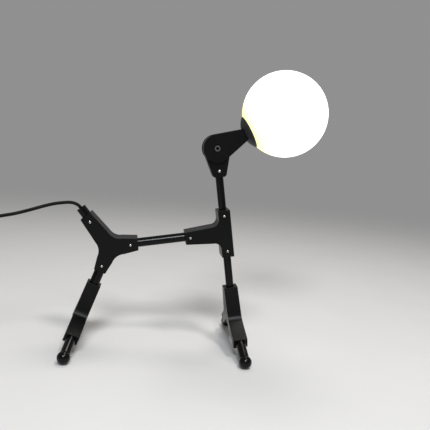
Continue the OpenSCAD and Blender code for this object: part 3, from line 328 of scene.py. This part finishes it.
# %% Small helpers for finishes
def new_finish(name):
    """A material with an empty tree, its graph, and its Object coordinates."""
    material = bpy.data.materials.new(name)
    material.use_nodes = True
    material.node_tree.nodes.clear()
    graph = Graph(material.node_tree)
    return material, graph, graph.node("ShaderNodeTexCoord", {}, {}, "Object")


def noise(graph, place, scale, detail=2.0):
    """Even noise around 0.5, with its scale in features for each metre."""
    sockets = {"Vector": place, "Scale": scale, "Detail": detail, "Roughness": 0.5}
    return graph.node("ShaderNodeTexNoise", {}, sockets, "Fac")


def mix_colour(graph, factor, first, second):
    return graph.node("ShaderNodeMix", {"data_type": "RGBA"}, {0: factor, 6: first, 7: second}, 2)


def grey(value, warm=0.0):
    return (value * (1 + warm), value, value * (1 - warm), 1.0)


def close_finish(graph, sockets):
    shader = graph.node("ShaderNodeBsdfPrincipled", {}, sockets)
    graph.node("ShaderNodeOutputMaterial", {}, {"Surface": shader})


def attribute(graph, name):
    return graph.node("ShaderNodeAttribute", {"attribute_name": name}, {}, "Fac")


def relief(graph, height, strength, depth, normal=None):
    """Shading normals of a height, which is as many metres deep as its depth."""
    sockets = {"Strength": strength, "Distance": depth, "Height": height}
    if normal is not None:
        sockets["Normal"] = normal
    return graph.node("ShaderNodeBump", {}, sockets)


print("finish helpers ready")

# %% Jacket finish
CORE_TWIST = 0.03


def make_jacket():
    material, graph, place = new_finish("flex_jacket")
    twist = attribute(graph, "along") * (2 * math.pi / CORE_TWIST)
    helix = (twist + attribute(graph, "around") * (4 * math.pi)).sine()
    grain = noise(graph, place, scale=2200)
    height = helix * 0.5 + grain * 0.25
    scuff = noise(graph, place, scale=160, detail=4.0)
    close_finish(graph, {
        "Base Color": mix_colour(graph, scuff, grey(0.002), grey(0.004)),
        "Roughness": 0.4 + scuff * 0.16,
        "Specular IOR Level": 0.1,
        "Normal": relief(graph, height, strength=0.25, depth=0.4 * MM),
    })
    return material


jacket = make_jacket()
print("jacket finish ready")

# %% Jacket tree and the two leads
JACKET_SIDES = 20


def store(graph, shape, name, value):
    """The shape with a number stored on each of its points."""
    settings = {"data_type": "FLOAT", "domain": "POINT"}
    sockets = {"Geometry": shape, "Name": name, "Value": value}
    return graph.node("GeometryNodeStoreNamedAttribute", settings, sockets)


def make_jacket_tree():
    tree, graph, entry = new_tree("round_jacket", {
        "Diameter": "NodeSocketFloat", "Sides": "NodeSocketInt", "Finish": "NodeSocketMaterial",
    })
    line = graph.node("GeometryNodeMeshToCurve", {}, {"Mesh": entry["Geometry"]})
    along = graph.node("GeometryNodeSplineParameter", {}, {}, "Length")
    line = store(graph, line, "along", along)
    ring = graph.node("GeometryNodeCurvePrimitiveCircle", {},
                      {"Resolution": entry["Sides"], "Radius": entry["Diameter"] * 0.5})
    around = graph.node("GeometryNodeSplineParameter", {}, {}, "Factor")
    ring = store(graph, ring, "around", around)
    tube = graph.node("GeometryNodeCurveToMesh", {},
                      {"Curve": line, "Profile Curve": ring, "Fill Caps": True})
    smooth = graph.node("GeometryNodeSetShadeSmooth", {}, {"Geometry": tube})
    close_tree(graph, smooth, entry["Finish"])
    return tree


jacket_tree = make_jacket_tree()
jacket_sizes = {"Diameter": LEAD_D * MM, "Sides": JACKET_SIDES, "Finish": jacket}
tail_mesh = point_mesh("tail_route", tail_route, True)
wound_mesh = point_mesh("wound_route", wound_route, True)
lead_to_switch = grow("lead_to_switch", tail_mesh, jacket_tree, jacket_sizes)
lead_wound = grow("lead_wound", wound_mesh, jacket_tree, jacket_sizes)

# %% Body and solids of the leads
for lead in (lead_to_switch, lead_wound):
    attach(lead, "body")
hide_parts("cord_tail")
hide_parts("cord_link", "cord_coil", "cord_end")

# %% [markdown]
# ## Paint and lacquer
#
# Three blacks cover most of the lamp. The moulded joints have a satin skin with a fine orange peel,
# the tubes a smoother enamel, and the rods and balls a gloss lacquer. Real mouldings have no razor
# edges, so the satin rounds its shading normals over half a millimetre with a Bevel node. The same
# rounded normals show where the edges are, and there the black is a little worn and lighter. The
# round tubes, rods and balls have no such edges, so there the radius is nothing. The dish beside
# the lit globe is a lighter copy of the satin, painted light that stands in for the globe's glow.

# %% Painted finishes
BEVEL_SAMPLES = 6
EDGE_GAIN = 3


def rounded_normal(graph, radius_mm):
    """Shading normals that turn softly over sharp edges."""
    return graph.node("ShaderNodeBevel", {"samples": BEVEL_SAMPLES}, {"Radius": radius_mm * MM})


def edge_mask(graph, rounded):
    """A mask of the sharp edges, where the rounded normals leave the plain ones."""
    plain = graph.node("ShaderNodeNewGeometry", {}, {}, "Normal")
    return ((1 - graph.vector("DOT_PRODUCT", rounded, plain)) * EDGE_GAIN).clamped()


def make_paint(name, shade, roughness, peel, edge_mm, specular):
    material, graph, place = new_finish(name)
    rounded = rounded_normal(graph, edge_mm)
    worn = edge_mask(graph, rounded) * 0.5
    skin = noise(graph, place, scale=1500)
    cloud = noise(graph, place, scale=45, detail=4.0)
    body = mix_colour(graph, cloud, grey(shade * 0.8), grey(shade * 1.3, -0.03))
    close_finish(graph, {
        "Base Color": mix_colour(graph, worn, body, grey(shade * 3)),
        "Roughness": roughness - 0.05 + cloud * 0.1,
        "Specular IOR Level": specular,
        "Normal": relief(graph, skin, peel, 0.2 * MM, rounded),
    })
    return material


satin_black = make_paint("satin_black", shade=0.0025, roughness=0.33, peel=0.2, edge_mm=0.5,
                         specular=0.14)
tube_black = make_paint("tube_enamel", shade=0.002, roughness=0.18, peel=0.006, edge_mm=0.0,
                        specular=0.16)
gloss_black = make_paint("gloss_lacquer", shade=0.002, roughness=0.12, peel=0.02, edge_mm=0.0,
                         specular=0.2)
# Painted light: the dish gets a lighter copy of the satin, standing in for the globe's light on it.
dish_satin_painted_light = make_paint("dish_satin_painted_light", shade=0.03, roughness=0.4, peel=0.2, edge_mm=0.5,
                        specular=0.14)
print("paints ready")

# %% [markdown]
# ## Metals
#
# The screws are nickel plated and turned on a lathe, so their faces carry fine rings, and their
# nickel is painted darker as shade from the counterbores they sit in. The nuts are duller zinc and
# the pivot's bolt is blackened steel, with painted shade making its socket near black. The nipple,
# its nut and the contacts are brass. Metal gets its life from uneven roughness more than from
# colour.

# %% Metal finishes
METAL_EDGE_MM = 0.2
STAIN_SHADE = 0.72
SOCKET_SHADE_R, SOCKET_SHADE_FADE = 2.0, 0.4


def make_metal(name, colour, roughness, rings_mm=0.0, painted_shade_at=None):
    material, graph, place = new_finish(name)
    stain = noise(graph, place, scale=220, detail=4.0)
    marks = noise(graph, place, scale=3000)
    if rings_mm:
        rings = (attribute(graph, "from_axis") * (2 * math.pi / (rings_mm * MM))).sine()
        marks = marks * 0.4 + rings * 0.3 + 0.3
    dark = tuple(STAIN_SHADE * c for c in colour[:3]) + (1.0,)
    shade = mix_colour(graph, stain, dark, colour)
    # Painted shade: the bolt is painted near black inside its socket's radius around the pivot's
    # axis.
    if painted_shade_at:
        aside = graph.vector("MULTIPLY", graph.vector("SUBTRACT", place, painted_shade_at), (1, 0, 1))
        reach = graph.vector("LENGTH", aside) / MM
        past_painted_shade = ((reach - SOCKET_SHADE_R) / SOCKET_SHADE_FADE).clamped()
        shade = mix_colour(graph, past_painted_shade, grey(0.008), shade)
    close_finish(graph, {
        "Base Color": shade,
        "Metallic": 1.0,
        "Roughness": roughness - 0.08 + stain * 0.16,
        "Normal": relief(graph, marks, 0.12, 0.1 * MM, rounded_normal(graph, METAL_EDGE_MM)),
    })
    return material


PIVOT = Vector((0.0204693, 0, 0.283261))
nickel = make_metal("bright_nickel", (0.86, 0.84, 0.80, 1.0), 0.3)
# Painted shade: the screws' nickel is a darker copy of the bright nickel, standing in for the shade
# of their counterbores.
turned_nickel_painted_shade = make_metal("turned_nickel_painted_shade", (0.62, 0.61, 0.58, 1.0), 0.24, rings_mm=0.35)
zinc = make_metal("dull_zinc", (0.36, 0.36, 0.37, 1.0), 0.42)
black_steel = make_metal("blackened_steel", (0.16, 0.155, 0.15, 1.0), 0.4, painted_shade_at=PIVOT)
brass = make_metal("drawn_brass", (0.78, 0.58, 0.27, 1.0), 0.28)
print("metals ready")

# %% [markdown]
# ## Plastics, rubber and ceramic
#
# The switch and the plug are moulded in a spark-eroded tool, which leaves a fine matt grain. The
# grommet is plain rubber. Inside the head, the lampholder is glazed ceramic and the small rings are
# white nylon. One recipe with different numbers gives them all.

# %% Moulded finishes
MOULD_EDGE_MM = 0.4


def make_moulded(name, light, dark, roughness, grain, grain_scale=2600, specular=0.4):
    material, graph, place = new_finish(name)
    rounded = rounded_normal(graph, MOULD_EDGE_MM)
    worn = edge_mask(graph, rounded) * 0.3
    spark = noise(graph, place, grain_scale, detail=1.0)
    cloud = noise(graph, place, scale=90, detail=3.0)
    body = mix_colour(graph, cloud, dark, light)
    close_finish(graph, {
        "Base Color": mix_colour(graph, worn, body, light),
        "Roughness": roughness - 0.06 + cloud * 0.12,
        "Specular IOR Level": specular,
        "Normal": relief(graph, spark, grain, 0.2 * MM, rounded),
    })
    return material


THREAD_PITCH = 0.0011


def make_weave():
    material, graph, place = new_finish("strap_weave")
    turn = 2 * math.pi / THREAD_PITCH
    across = graph.node("ShaderNodeSeparateXYZ", {}, {"Vector": place}, "Y") * turn
    along = attribute(graph, "along") * turn
    threads = (along + across).sine() * 0.5 + (along * 0.5 - across * 0.5).sine() * 0.3 + 0.5
    fuzz = noise(graph, place, scale=900, detail=4.0)
    tone = (threads * 0.6 + fuzz * 0.4).clamped()
    close_finish(graph, {
        "Base Color": mix_colour(graph, tone, grey(0.008), grey(0.022)),
        "Roughness": 0.7 + fuzz * 0.2,
        "Specular IOR Level": 0.2,
        "Normal": relief(graph, threads + fuzz * 0.4, strength=0.6, depth=0.2 * MM),
    })
    return material


switch_plastic = make_moulded("switch_plastic", grey(0.010), grey(0.006), 0.48, 0.35, specular=0.24)
rocker_plastic = make_moulded("rocker_plastic", grey(0.008), grey(0.005), 0.24, 0.1, specular=0.3)
grommet_rubber = make_moulded("grommet_rubber", grey(0.012), grey(0.006), 0.62, 0.4, 1800)
strap_weave = make_weave()
lead_sleeve = make_moulded("lead_sleeve", grey(0.02), grey(0.012), 0.6, 0.5, 3200)
white_nylon = make_moulded("white_nylon", grey(0.80, 0.03), grey(0.72, 0.04), 0.4, 0.15)
ceramic = make_moulded("glazed_ceramic", grey(0.82, 0.04), grey(0.74, 0.06), 0.16, 0.08, 900)
print("moulded finishes ready")

# %% [markdown]
# ## The lit globe
#
# The globe is opal glass with a lamp inside, so the glass itself glows. Close to the dish it looks
# into the base of the lamp and turns a warm cream, and everywhere else it is an even white. The
# glow is read from the distance along the head's axis, and the smooth outer skin stays a clear
# coat.

# %% Opal glass and bulb finishes
HEAD_WAY = way(30.3)
RIM_ALONG, CREAM_REACH = 0.0509, 0.021
CREAM_GLOW, WHITE_GLOW = (0.75, 0.73, 0.23, 1.0), (1.0, 0.985, 0.95, 1.0)
WARM_BULB, PALE_BULB = (1.0, 0.9, 0.7, 1.0), (1.0, 0.95, 0.82, 1.0)


def make_opal():
    material, graph, place = new_finish("opal_glass")
    past_rim = graph.vector("DOT_PRODUCT", place, HEAD_WAY) - (PIVOT.dot(HEAD_WAY) + RIM_ALONG)
    inward = (past_rim / CREAM_REACH).clamped() ** 2
    cloud = noise(graph, place, scale=30)
    close_finish(graph, {
        "Base Color": mix_colour(graph, cloud, grey(0.86, 0.01), grey(0.9, 0.02)),
        "Roughness": 0.16 + cloud * 0.06,
        "Emission Color": mix_colour(graph, inward, CREAM_GLOW, WHITE_GLOW),
        "Emission Strength": 1.5,
        "Coat Weight": 0.3,
    })
    return material


def make_bulb():
    material, graph, place = new_finish("frosted_bulb")
    frost = noise(graph, place, scale=2400)
    close_finish(graph, {
        "Base Color": mix_colour(graph, frost, grey(0.85, 0.03), grey(0.92, 0.03)),
        "Roughness": 0.5 + frost * 0.1,
        "Emission Color": mix_colour(graph, frost, WARM_BULB, PALE_BULB),
        "Emission Strength": 1.0,
    })
    return material


opal_glass = make_opal()
frosted_bulb = make_bulb()
print("globe and bulb ready")

# %% [markdown]
# ## Each solid gets its finish
#
# The solids whose shape is right stay as they are and only change their material. The list below
# reads like a parts list, and the check at its end makes sure that no solid is forgotten.

# %% Finishes by solid
finishes = {
    satin_black: [
        "shoulder_near_shell", "shoulder_far_shell", "hip_near_shell", "hip_far_shell",
        "neck_bracket", "front_leg_bracket", "rear_leg_bracket", "head_fork",
    ],
    dish_satin_painted_light: ["globe_collar"],
    tube_black: ["spine_tube", "neck_tube", "front_leg_tube", "rear_leg_tube", "tail_sleeve"],
    gloss_black: [f"{end}_{side}_{part}" for end in ("front", "rear") for side in ("near", "far")
                  for part in ("rod", "ball")],
    turned_nickel_painted_shade: ["joint_screws", "bracket_screw"],
    nickel: ["switch_screws", "bulb_pins", "plug_pins"],
    zinc: ["joint_nuts", "bracket_nut", "pivot_nut"],
    black_steel: ["pivot_bolt"],
    brass: ["collar_nipple", "nipple_nut", "switch_contacts"],
    grommet_rubber: ["cord_grommet"],
    lead_sleeve: ["body_lead", "head_lead"],
    white_nylon: ["friction_washers", "globe_ring", "bulb_base"],
    ceramic: ["lampholder"],
    opal_glass: ["globe"],
    frosted_bulb: ["bulb_capsule"],
    switch_plastic: ["switch_lower_shell", "switch_upper_shell", "plug_body"],
    rocker_plastic: ["switch_rocker"],
    strap_weave: ["coil_tie"],
    jacket: ["cord_tail", "cord_link", "cord_coil", "cord_end"],
}


def dress(solid, material):
    if not solid.material_slots:
        solid.data.materials.append(material)
    for slot in solid.material_slots:
        slot.material = material


for material, names in finishes.items():
    for name in names:
        dress(nodes[name], material)
bare = set(nodes) - {name for names in finishes.values() for name in names}
assert not bare, f"no finish for {bare}"
print(f"{len(finishes)} finishes on {len(nodes)} solids")

# %% [markdown]
# ## Turned screws
#
# Seven small screws hold the joints and the neck's bracket. Each has a low domed head with a
# hexagonal socket. The head is turned from rings of points, and the socket's rings follow a hexagon
# instead of a circle. Geometry Nodes then place one screw on each seat and turn each by its own
# angle, with a fixed seed, because nobody lines up the sockets of seven screws.

# %% One screw
SCREW_HEAD_R, SCREW_HEAD_H, SCREW_SHANK_R, SOCKET_FLATS = 2.3, 1.9, 1.5, 2.0
SCREW_DOME_H, SCREW_FLAT_R = 1.6, 1.2
DOME_ANGLES = (0.3, 0.6, 0.9, 1.2, 1.57)
SOCKET_LIP, SOCKET_FLOOR, SOCKET_TIP = 0.2, 1.1, 1.25
SHANK_CHAMFER, CENTRE_R = 0.3, 0.01
SCREW_SIDES, SCREW_SHARP = 36, 35


def hexagon(flats, angle):
    return flats / 2 / math.cos((angle + math.pi / 6) % (math.pi / 3) - math.pi / 6)


def skin_loops(form, loops, name, sharp_degrees):
    """A mesh with faces between neighbouring loops of points and over the first and the last."""
    for low, high in zip(loops, loops[1:]):
        for k in range(len(low)):
            form.faces.new((low[k], low[k - 1], high[k - 1], high[k]))
    form.faces.new(loops[0])
    form.faces.new(reversed(loops[-1]))
    bmesh.ops.recalc_face_normals(form, faces=form.faces)
    mesh = bpy.data.meshes.new(name)
    form.to_mesh(mesh)
    form.free()
    mesh.shade_smooth()
    mesh.set_sharp_from_angle(angle=math.radians(sharp_degrees))
    return mesh


def screw_mesh(name, shank_len):
    """A screw on its seat at the origin, with its head towards -Y."""
    top, brow = SCREW_HEAD_H, SCREW_HEAD_H - SCREW_DOME_H
    rings = [(CENTRE_R, -shank_len), (SCREW_SHANK_R - SHANK_CHAMFER, -shank_len)]
    rings += [(SCREW_SHANK_R, SHANK_CHAMFER - shank_len), (SCREW_SHANK_R, 0)]
    rings += [(SCREW_HEAD_R, 0), (SCREW_HEAD_R, brow)]
    for a in DOME_ANGLES:
        out = SCREW_FLAT_R + (SCREW_HEAD_R - SCREW_FLAT_R) * math.cos(a)
        rings.append((out, brow + SCREW_DOME_H * math.sin(a)))
    rings += [("hex", top - SOCKET_LIP), ("hex", top - SOCKET_FLOOR)]
    rings.append((CENTRE_R, top - SOCKET_TIP))
    form = bmesh.new()
    far = form.verts.layers.float.new("from_axis")
    loops = []
    for radius, height in rings:
        loop = []
        for k in range(SCREW_SIDES):
            angle = 2 * math.pi * k / SCREW_SIDES
            reach = hexagon(SOCKET_FLATS, angle) if radius == "hex" else radius
            place = Vector((reach * math.cos(angle), -height, reach * math.sin(angle))) * MM
            vert = form.verts.new(place)
            vert[far] = reach * MM
            loop.append(vert)
        loops.append(loop)
    return skin_loops(form, loops, name, SCREW_SHARP)


# %% Screws on their seats
SHOULDER = Vector((41.1334, 0, 166.069))
NECK_WAY, SPINE_WAY, REAR_WAY = way(100), way(10), way(250)
JOINT_SEAT = Vector((0, -13.82, 0))
BRACKET_SEAT = Vector((0, -6.32, 0))
JOINT_ARMS = [
    (SHOULDER, 25, NECK_WAY), (SHOULDER, -25, NECK_WAY), (SHOULDER, -50, SPINE_WAY),
    (HIP, 28, SPINE_WAY), (HIP, 28, REAR_WAY), (HIP, 44, TAIL_WAY),
]
BRACKET_ARM = 31.5
JOINT_SHANK, BRACKET_SHANK = 29.6, 14.8
SCREW_SEED = 7

joint_seats = [(middle + far * arm + JOINT_SEAT) * MM for middle, far, arm in JOINT_ARMS]
bracket_seats = [PIVOT - (BRACKET_ARM * NECK_WAY - BRACKET_SEAT) * MM]


def make_screw_tree():
    tree, graph, entry = new_tree("screws_on_seats", {
        "Screw": "NodeSocketObject", "Seed": "NodeSocketInt", "Finish": "NodeSocketMaterial",
    })
    sockets = {"Object": entry["Screw"], "As Instance": True}
    screw = graph.node("GeometryNodeObjectInfo", {}, sockets, "Geometry")
    turn = graph.node("FunctionNodeRandomValue", {"data_type": "FLOAT"},
                      {"Min": 0.0, "Max": math.pi / 3, "Seed": entry["Seed"]}, "Value")
    turn = graph.node("ShaderNodeCombineXYZ", {}, {"Y": turn})
    placed = graph.node("GeometryNodeInstanceOnPoints", {},
                        {"Points": entry["Geometry"], "Instance": screw, "Rotation": turn})
    close_tree(graph, placed, entry["Finish"])
    return tree


screw_tree = make_screw_tree()
screw_sets = {
    "joint_screws": (joint_seats, JOINT_SHANK),
    "bracket_screw": (bracket_seats, BRACKET_SHANK),
}
for name, (seats, shank) in screw_sets.items():
    pattern = bpy.data.objects.new(name + "_pattern", screw_mesh(name + "_pattern", shank))
    piece = grow("turned_" + name, point_mesh(name + "_seats", seats, False), screw_tree,
                 {"Screw": pattern, "Seed": SCREW_SEED, "Finish": turned_nickel_painted_shade})
    bpy.data.objects.remove(pattern)
    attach(piece, "body")
    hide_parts(name)

# %% [markdown]
# ## Ribs on the plug's strain relief
#
# A moulded strain relief bends because it is cut into rings. Each ring is a small torus, and the
# tree sets seven of them along the taper, each scaled to the taper's radius at its place.

# %% Relief ribs
RELIEF_LEN, RELIEF_R, RELIEF_GROWTH = 22.5, 3.15, 2.1
RIB_R, RIB_FIRST, RIB_PITCH, RIB_COUNT = 0.55, 2.0, 2.9, 7
RIB_RING_SIDES, RIB_WIRE_SIDES = 40, 10
rib_stations = [RIB_FIRST + RIB_PITCH * k for k in range(RIB_COUNT)]


def make_rib_tree():
    tree, graph, entry = new_tree("ribs_on_taper", {
        "Rib": "NodeSocketFloat", "Start": "NodeSocketFloat", "Radius": "NodeSocketFloat",
        "Growth": "NodeSocketFloat", "Finish": "NodeSocketMaterial",
    })
    ring = graph.node("GeometryNodeCurvePrimitiveCircle", {},
                      {"Resolution": RIB_RING_SIDES, "Radius": 1.0})
    wire = graph.node("GeometryNodeCurvePrimitiveCircle", {},
                      {"Resolution": RIB_WIRE_SIDES, "Radius": entry["Rib"]})
    place = graph.node("GeometryNodeInputPosition")
    depth = graph.node("ShaderNodeSeparateXYZ", {}, {"Vector": place}, "Y")
    reach = entry["Radius"] + (entry["Start"] - depth) * entry["Growth"]
    rings = graph.node("GeometryNodeInstanceOnPoints", {}, {
        "Points": entry["Geometry"], "Instance": ring,
        "Rotation": (math.pi / 2, 0, 0), "Scale": reach,
    })
    rings = graph.node("GeometryNodeRealizeInstances", {}, {"Geometry": rings})
    ribs = graph.node("GeometryNodeCurveToMesh", {}, {"Curve": rings, "Profile Curve": wire})
    smooth = graph.node("GeometryNodeSetShadeSmooth", {}, {"Geometry": ribs})
    close_tree(graph, smooth, entry["Finish"])
    return tree


rib_points = [(PLUG - Vector((0, s, 0))) * MM for s in rib_stations]
plug_ribs = grow("plug_ribs", point_mesh("rib_stations", rib_points, False), make_rib_tree(), {
    "Rib": RIB_R * MM, "Start": PLUG.y * MM, "Radius": RELIEF_R * MM,
    "Growth": RELIEF_GROWTH / RELIEF_LEN, "Finish": switch_plastic,
})
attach(plug_ribs, "body")

# %% [markdown]
# ## The strap around the coil
#
# A short woven strap keeps the coil together. It goes once round the four layers, and its end lies
# over its own start, so it is a flat band that follows a path. The path is a rectangle with round
# corners that steps outwards by one thickness where the end begins to overlap.

# %% Path of the strap
STRAP_MID = Vector((-360, 47.5, 10.45))
STRAP_HALF_W, STRAP_HALF_H, STRAP_CORNER = 7.85, 10.15, 2.85
STRAP_W, STRAP_T, STRAP_EDGE = 8, 0.6, 0.15
STRAP_OVERLAP, STRAP_STEP = 17, 0.75
STRAP_START, LAP_START = -3, 2
CORNER_STEPS, STRAP_SHARP = 6, 40
CORNERS = ((1, 1), (1, -1), (-1, -1), (-1, 1))
UPWARDS = Vector((0, 0, 1))


def strap_loop():
    """Points of one closed turn, each with its outward direction, from the middle of the top."""
    turn = []
    half_x, half_z = STRAP_HALF_W - STRAP_CORNER, STRAP_HALF_H - STRAP_CORNER
    for corner, (side_x, side_z) in enumerate(CORNERS):
        centre = Vector((side_x * half_x, 0, side_z * half_z))
        for step in range(CORNER_STEPS + 1):
            angle = math.pi / 2 - math.pi / 2 * (corner + step / CORNER_STEPS)
            out = Vector((math.cos(angle), 0, math.sin(angle)))
            turn.append((centre + STRAP_CORNER * out, out))
    return turn


def strap_path():
    """The middle line of the strap: one turn, then its end on top of its start."""
    turn = strap_loop()
    path = [(Vector((STRAP_START, 0, STRAP_HALF_H)), UPWARDS), *turn]
    gone = 0.0
    last = turn[-1][0]
    for point, out in [(Vector((LAP_START, 0, STRAP_HALF_H)), UPWARDS), *turn]:
        gone += (point - last).length
        if gone > STRAP_OVERLAP + STRAP_HALF_W:
            break
        path.append((point + STRAP_STEP * out, out))
        last = point
    return path


# %% Strap
def make_strap():
    path = strap_path()
    half_w, half_t = STRAP_W / 2, STRAP_T / 2
    flat_w, flat_t = half_w - STRAP_EDGE, half_t - STRAP_EDGE
    section = [
        (-half_w, -flat_t), (-half_w, flat_t), (-flat_w, half_t), (flat_w, half_t),
        (half_w, flat_t), (half_w, -flat_t), (flat_w, -half_t), (-flat_w, -half_t),
    ]
    form = bmesh.new()
    woven = form.verts.layers.float.new("along")
    gone, last, loops = 0.0, path[0][0], []
    for point, out in path:
        gone += (point - last).length
        last = point
        middle = STRAP_MID + point
        loop = [form.verts.new((middle + Vector((0, y, 0)) + t * out) * MM) for y, t in section]
        for vert in loop:
            vert[woven] = gone * MM
        loops.append(loop)
    mesh = skin_loops(form, loops, "coil_strap", STRAP_SHARP)
    mesh.materials.append(strap_weave)
    strap = bpy.data.objects.new("coil_strap", mesh)
    bpy.context.collection.objects.link(strap)
    print(f"strap: {gone:.0f} mm long")
    return strap


coil_strap = make_strap()
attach(coil_strap, "body")
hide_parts("coil_tie")

# %% [markdown]
# ## Grips on the rocker
#
# A thumb finds the rocker by three low bars at each end. They sit on the rocker's two slopes, so
# each bar's height follows from its distance from the middle, and they ride with the rocker.

# %% Rocker grips
ROCKER = SWITCH + Vector((0, 0, 4.5))
ROCKER_TURN = Matrix.Rotation(math.radians(8), 3, "X")
ROCKER_MID_H, ROCKER_RISE, ROCKER_HALF = 2.3, 1.2, 9.8
GRIP_SIZE = Vector((3.2, 0.42, 0.36))
GRIP_PLACES = (5.0, 6.4, 7.8)
GRIP_SEGMENTS, GRIP_RINGS = 16, 10
grip_stations = [side * t for side in (-1, 1) for t in GRIP_PLACES]


def on_rocker(t):
    height = ROCKER_MID_H + ROCKER_RISE * abs(t) / ROCKER_HALF
    return (ROCKER + ROCKER_TURN @ Vector((0, t, height))) * MM


def make_grip_tree():
    tree, graph, entry = new_tree("grips_on_rocker", {
        "Size": "NodeSocketVector", "Finish": "NodeSocketMaterial",
    })
    sockets = {"Segments": GRIP_SEGMENTS, "Rings": GRIP_RINGS, "Radius": 1.0}
    bar = graph.node("GeometryNodeMeshUVSphere", {}, sockets, "Mesh")
    bars = graph.node("GeometryNodeInstanceOnPoints", {},
                      {"Points": entry["Geometry"], "Instance": bar, "Scale": entry["Size"]})
    smooth = graph.node("GeometryNodeSetShadeSmooth", {}, {"Geometry": bars})
    close_tree(graph, smooth, entry["Finish"])
    return tree


grip_points = point_mesh("grip_stations", [on_rocker(t) for t in grip_stations], False)
rocker_grips = grow("rocker_grips", grip_points, make_grip_tree(),
                    {"Size": GRIP_SIZE * MM, "Finish": rocker_plastic})
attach(rocker_grips, "rocker")

# %% [markdown]
#
# The lead is two pieces: one from the tail to the switch, and one from the switch through the
# coil to the plug. The real length of each is worked out from its route, and their total is
# printed.

# %% Cords
length_of(tail_route)
length_of(wound_route)
print(f"lead {length_of(tail_route) + length_of(wound_route):.2f} m in all")

# %% [markdown]
# ## Floor and light
#
# A plain pale floor that fades into the background keeps the eye on the lamp and still takes its
# shadow. A cool window light stands high in front, a weaker one hangs from the ceiling, the
# weakest shines from behind, and an even grey world does the rest, at a level at which a colour
# looks about as it was written.

# %% Floor
FLOOR_R, FLOOR_SIDES = 4.0, 96
FADE_FROM, FADE_TO = 0.45, 2.6


def make_floor_finish():
    material, graph, place = new_finish("pale_floor")
    cloud = noise(graph, place, scale=9, detail=3.0)
    shader = graph.node("ShaderNodeBsdfPrincipled", {}, {
        "Base Color": mix_colour(graph, cloud, grey(0.60, 0.01), grey(0.64, 0.01)),
        "Roughness": 0.75,
        "Specular IOR Level": 0.2,
    })
    away = graph.vector("LENGTH", place)
    fade = graph.node("ShaderNodeMapRange", {"interpolation_type": "SMOOTHSTEP"},
                      {"Value": away, "From Min": FADE_FROM, "From Max": FADE_TO})
    clear = graph.node("ShaderNodeBsdfTransparent")
    both = graph.node("ShaderNodeMixShader", {}, {0: fade, 1: shader, 2: clear})
    graph.node("ShaderNodeOutputMaterial", {}, {"Surface": both})
    return material


form = bmesh.new()
bmesh.ops.create_circle(form, cap_ends=True, segments=FLOOR_SIDES, radius=FLOOR_R)
floor_mesh = bpy.data.meshes.new("floor")
form.to_mesh(floor_mesh)
form.free()
floor = bpy.data.objects.new("floor", floor_mesh)
floor.data.materials.append(make_floor_finish())
bpy.context.collection.objects.link(floor)

# %% Light
def soft_light(name, at, target, size, watts, colour):
    lamp = bpy.data.lights.new(name, "AREA")
    lamp.shape, lamp.size, lamp.energy, lamp.color = "DISK", size, watts, colour
    holder = bpy.data.objects.new(name, lamp)
    holder.location = at
    holder.rotation_euler = (Vector(target) - Vector(at)).to_track_quat("-Z", "Y").to_euler()
    bpy.context.collection.objects.link(holder)


soft_light("window", at=(-0.2, -1.5, 1.5), target=(-0.05, 0, 0.15),
           size=0.55, watts=26, colour=(0.92, 0.96, 1.0))
soft_light("ceiling", at=(0.4, -0.9, 1.9), target=(0, 0, 0.15),
           size=0.4, watts=17, colour=(1.0, 0.98, 0.96))
soft_light("back", at=(0.3, 0.57, 1.75), target=(0.05, 0, 0.05),
           size=0.7, watts=9, colour=(1.0, 0.97, 0.92))

WORLD_GREY = 0.28
world = bpy.data.worlds.new("studio")
world.use_nodes = True
world.node_tree.nodes.clear()
studio = Graph(world.node_tree)
sky = studio.node("ShaderNodeBackground", {}, {"Color": grey(WORLD_GREY), "Strength": 1.0})
studio.node("ShaderNodeOutputWorld", {}, {"Surface": sky})
bpy.context.scene.world = world
bpy.context.scene.view_settings.view_transform = "Standard"
print("floor and light ready")
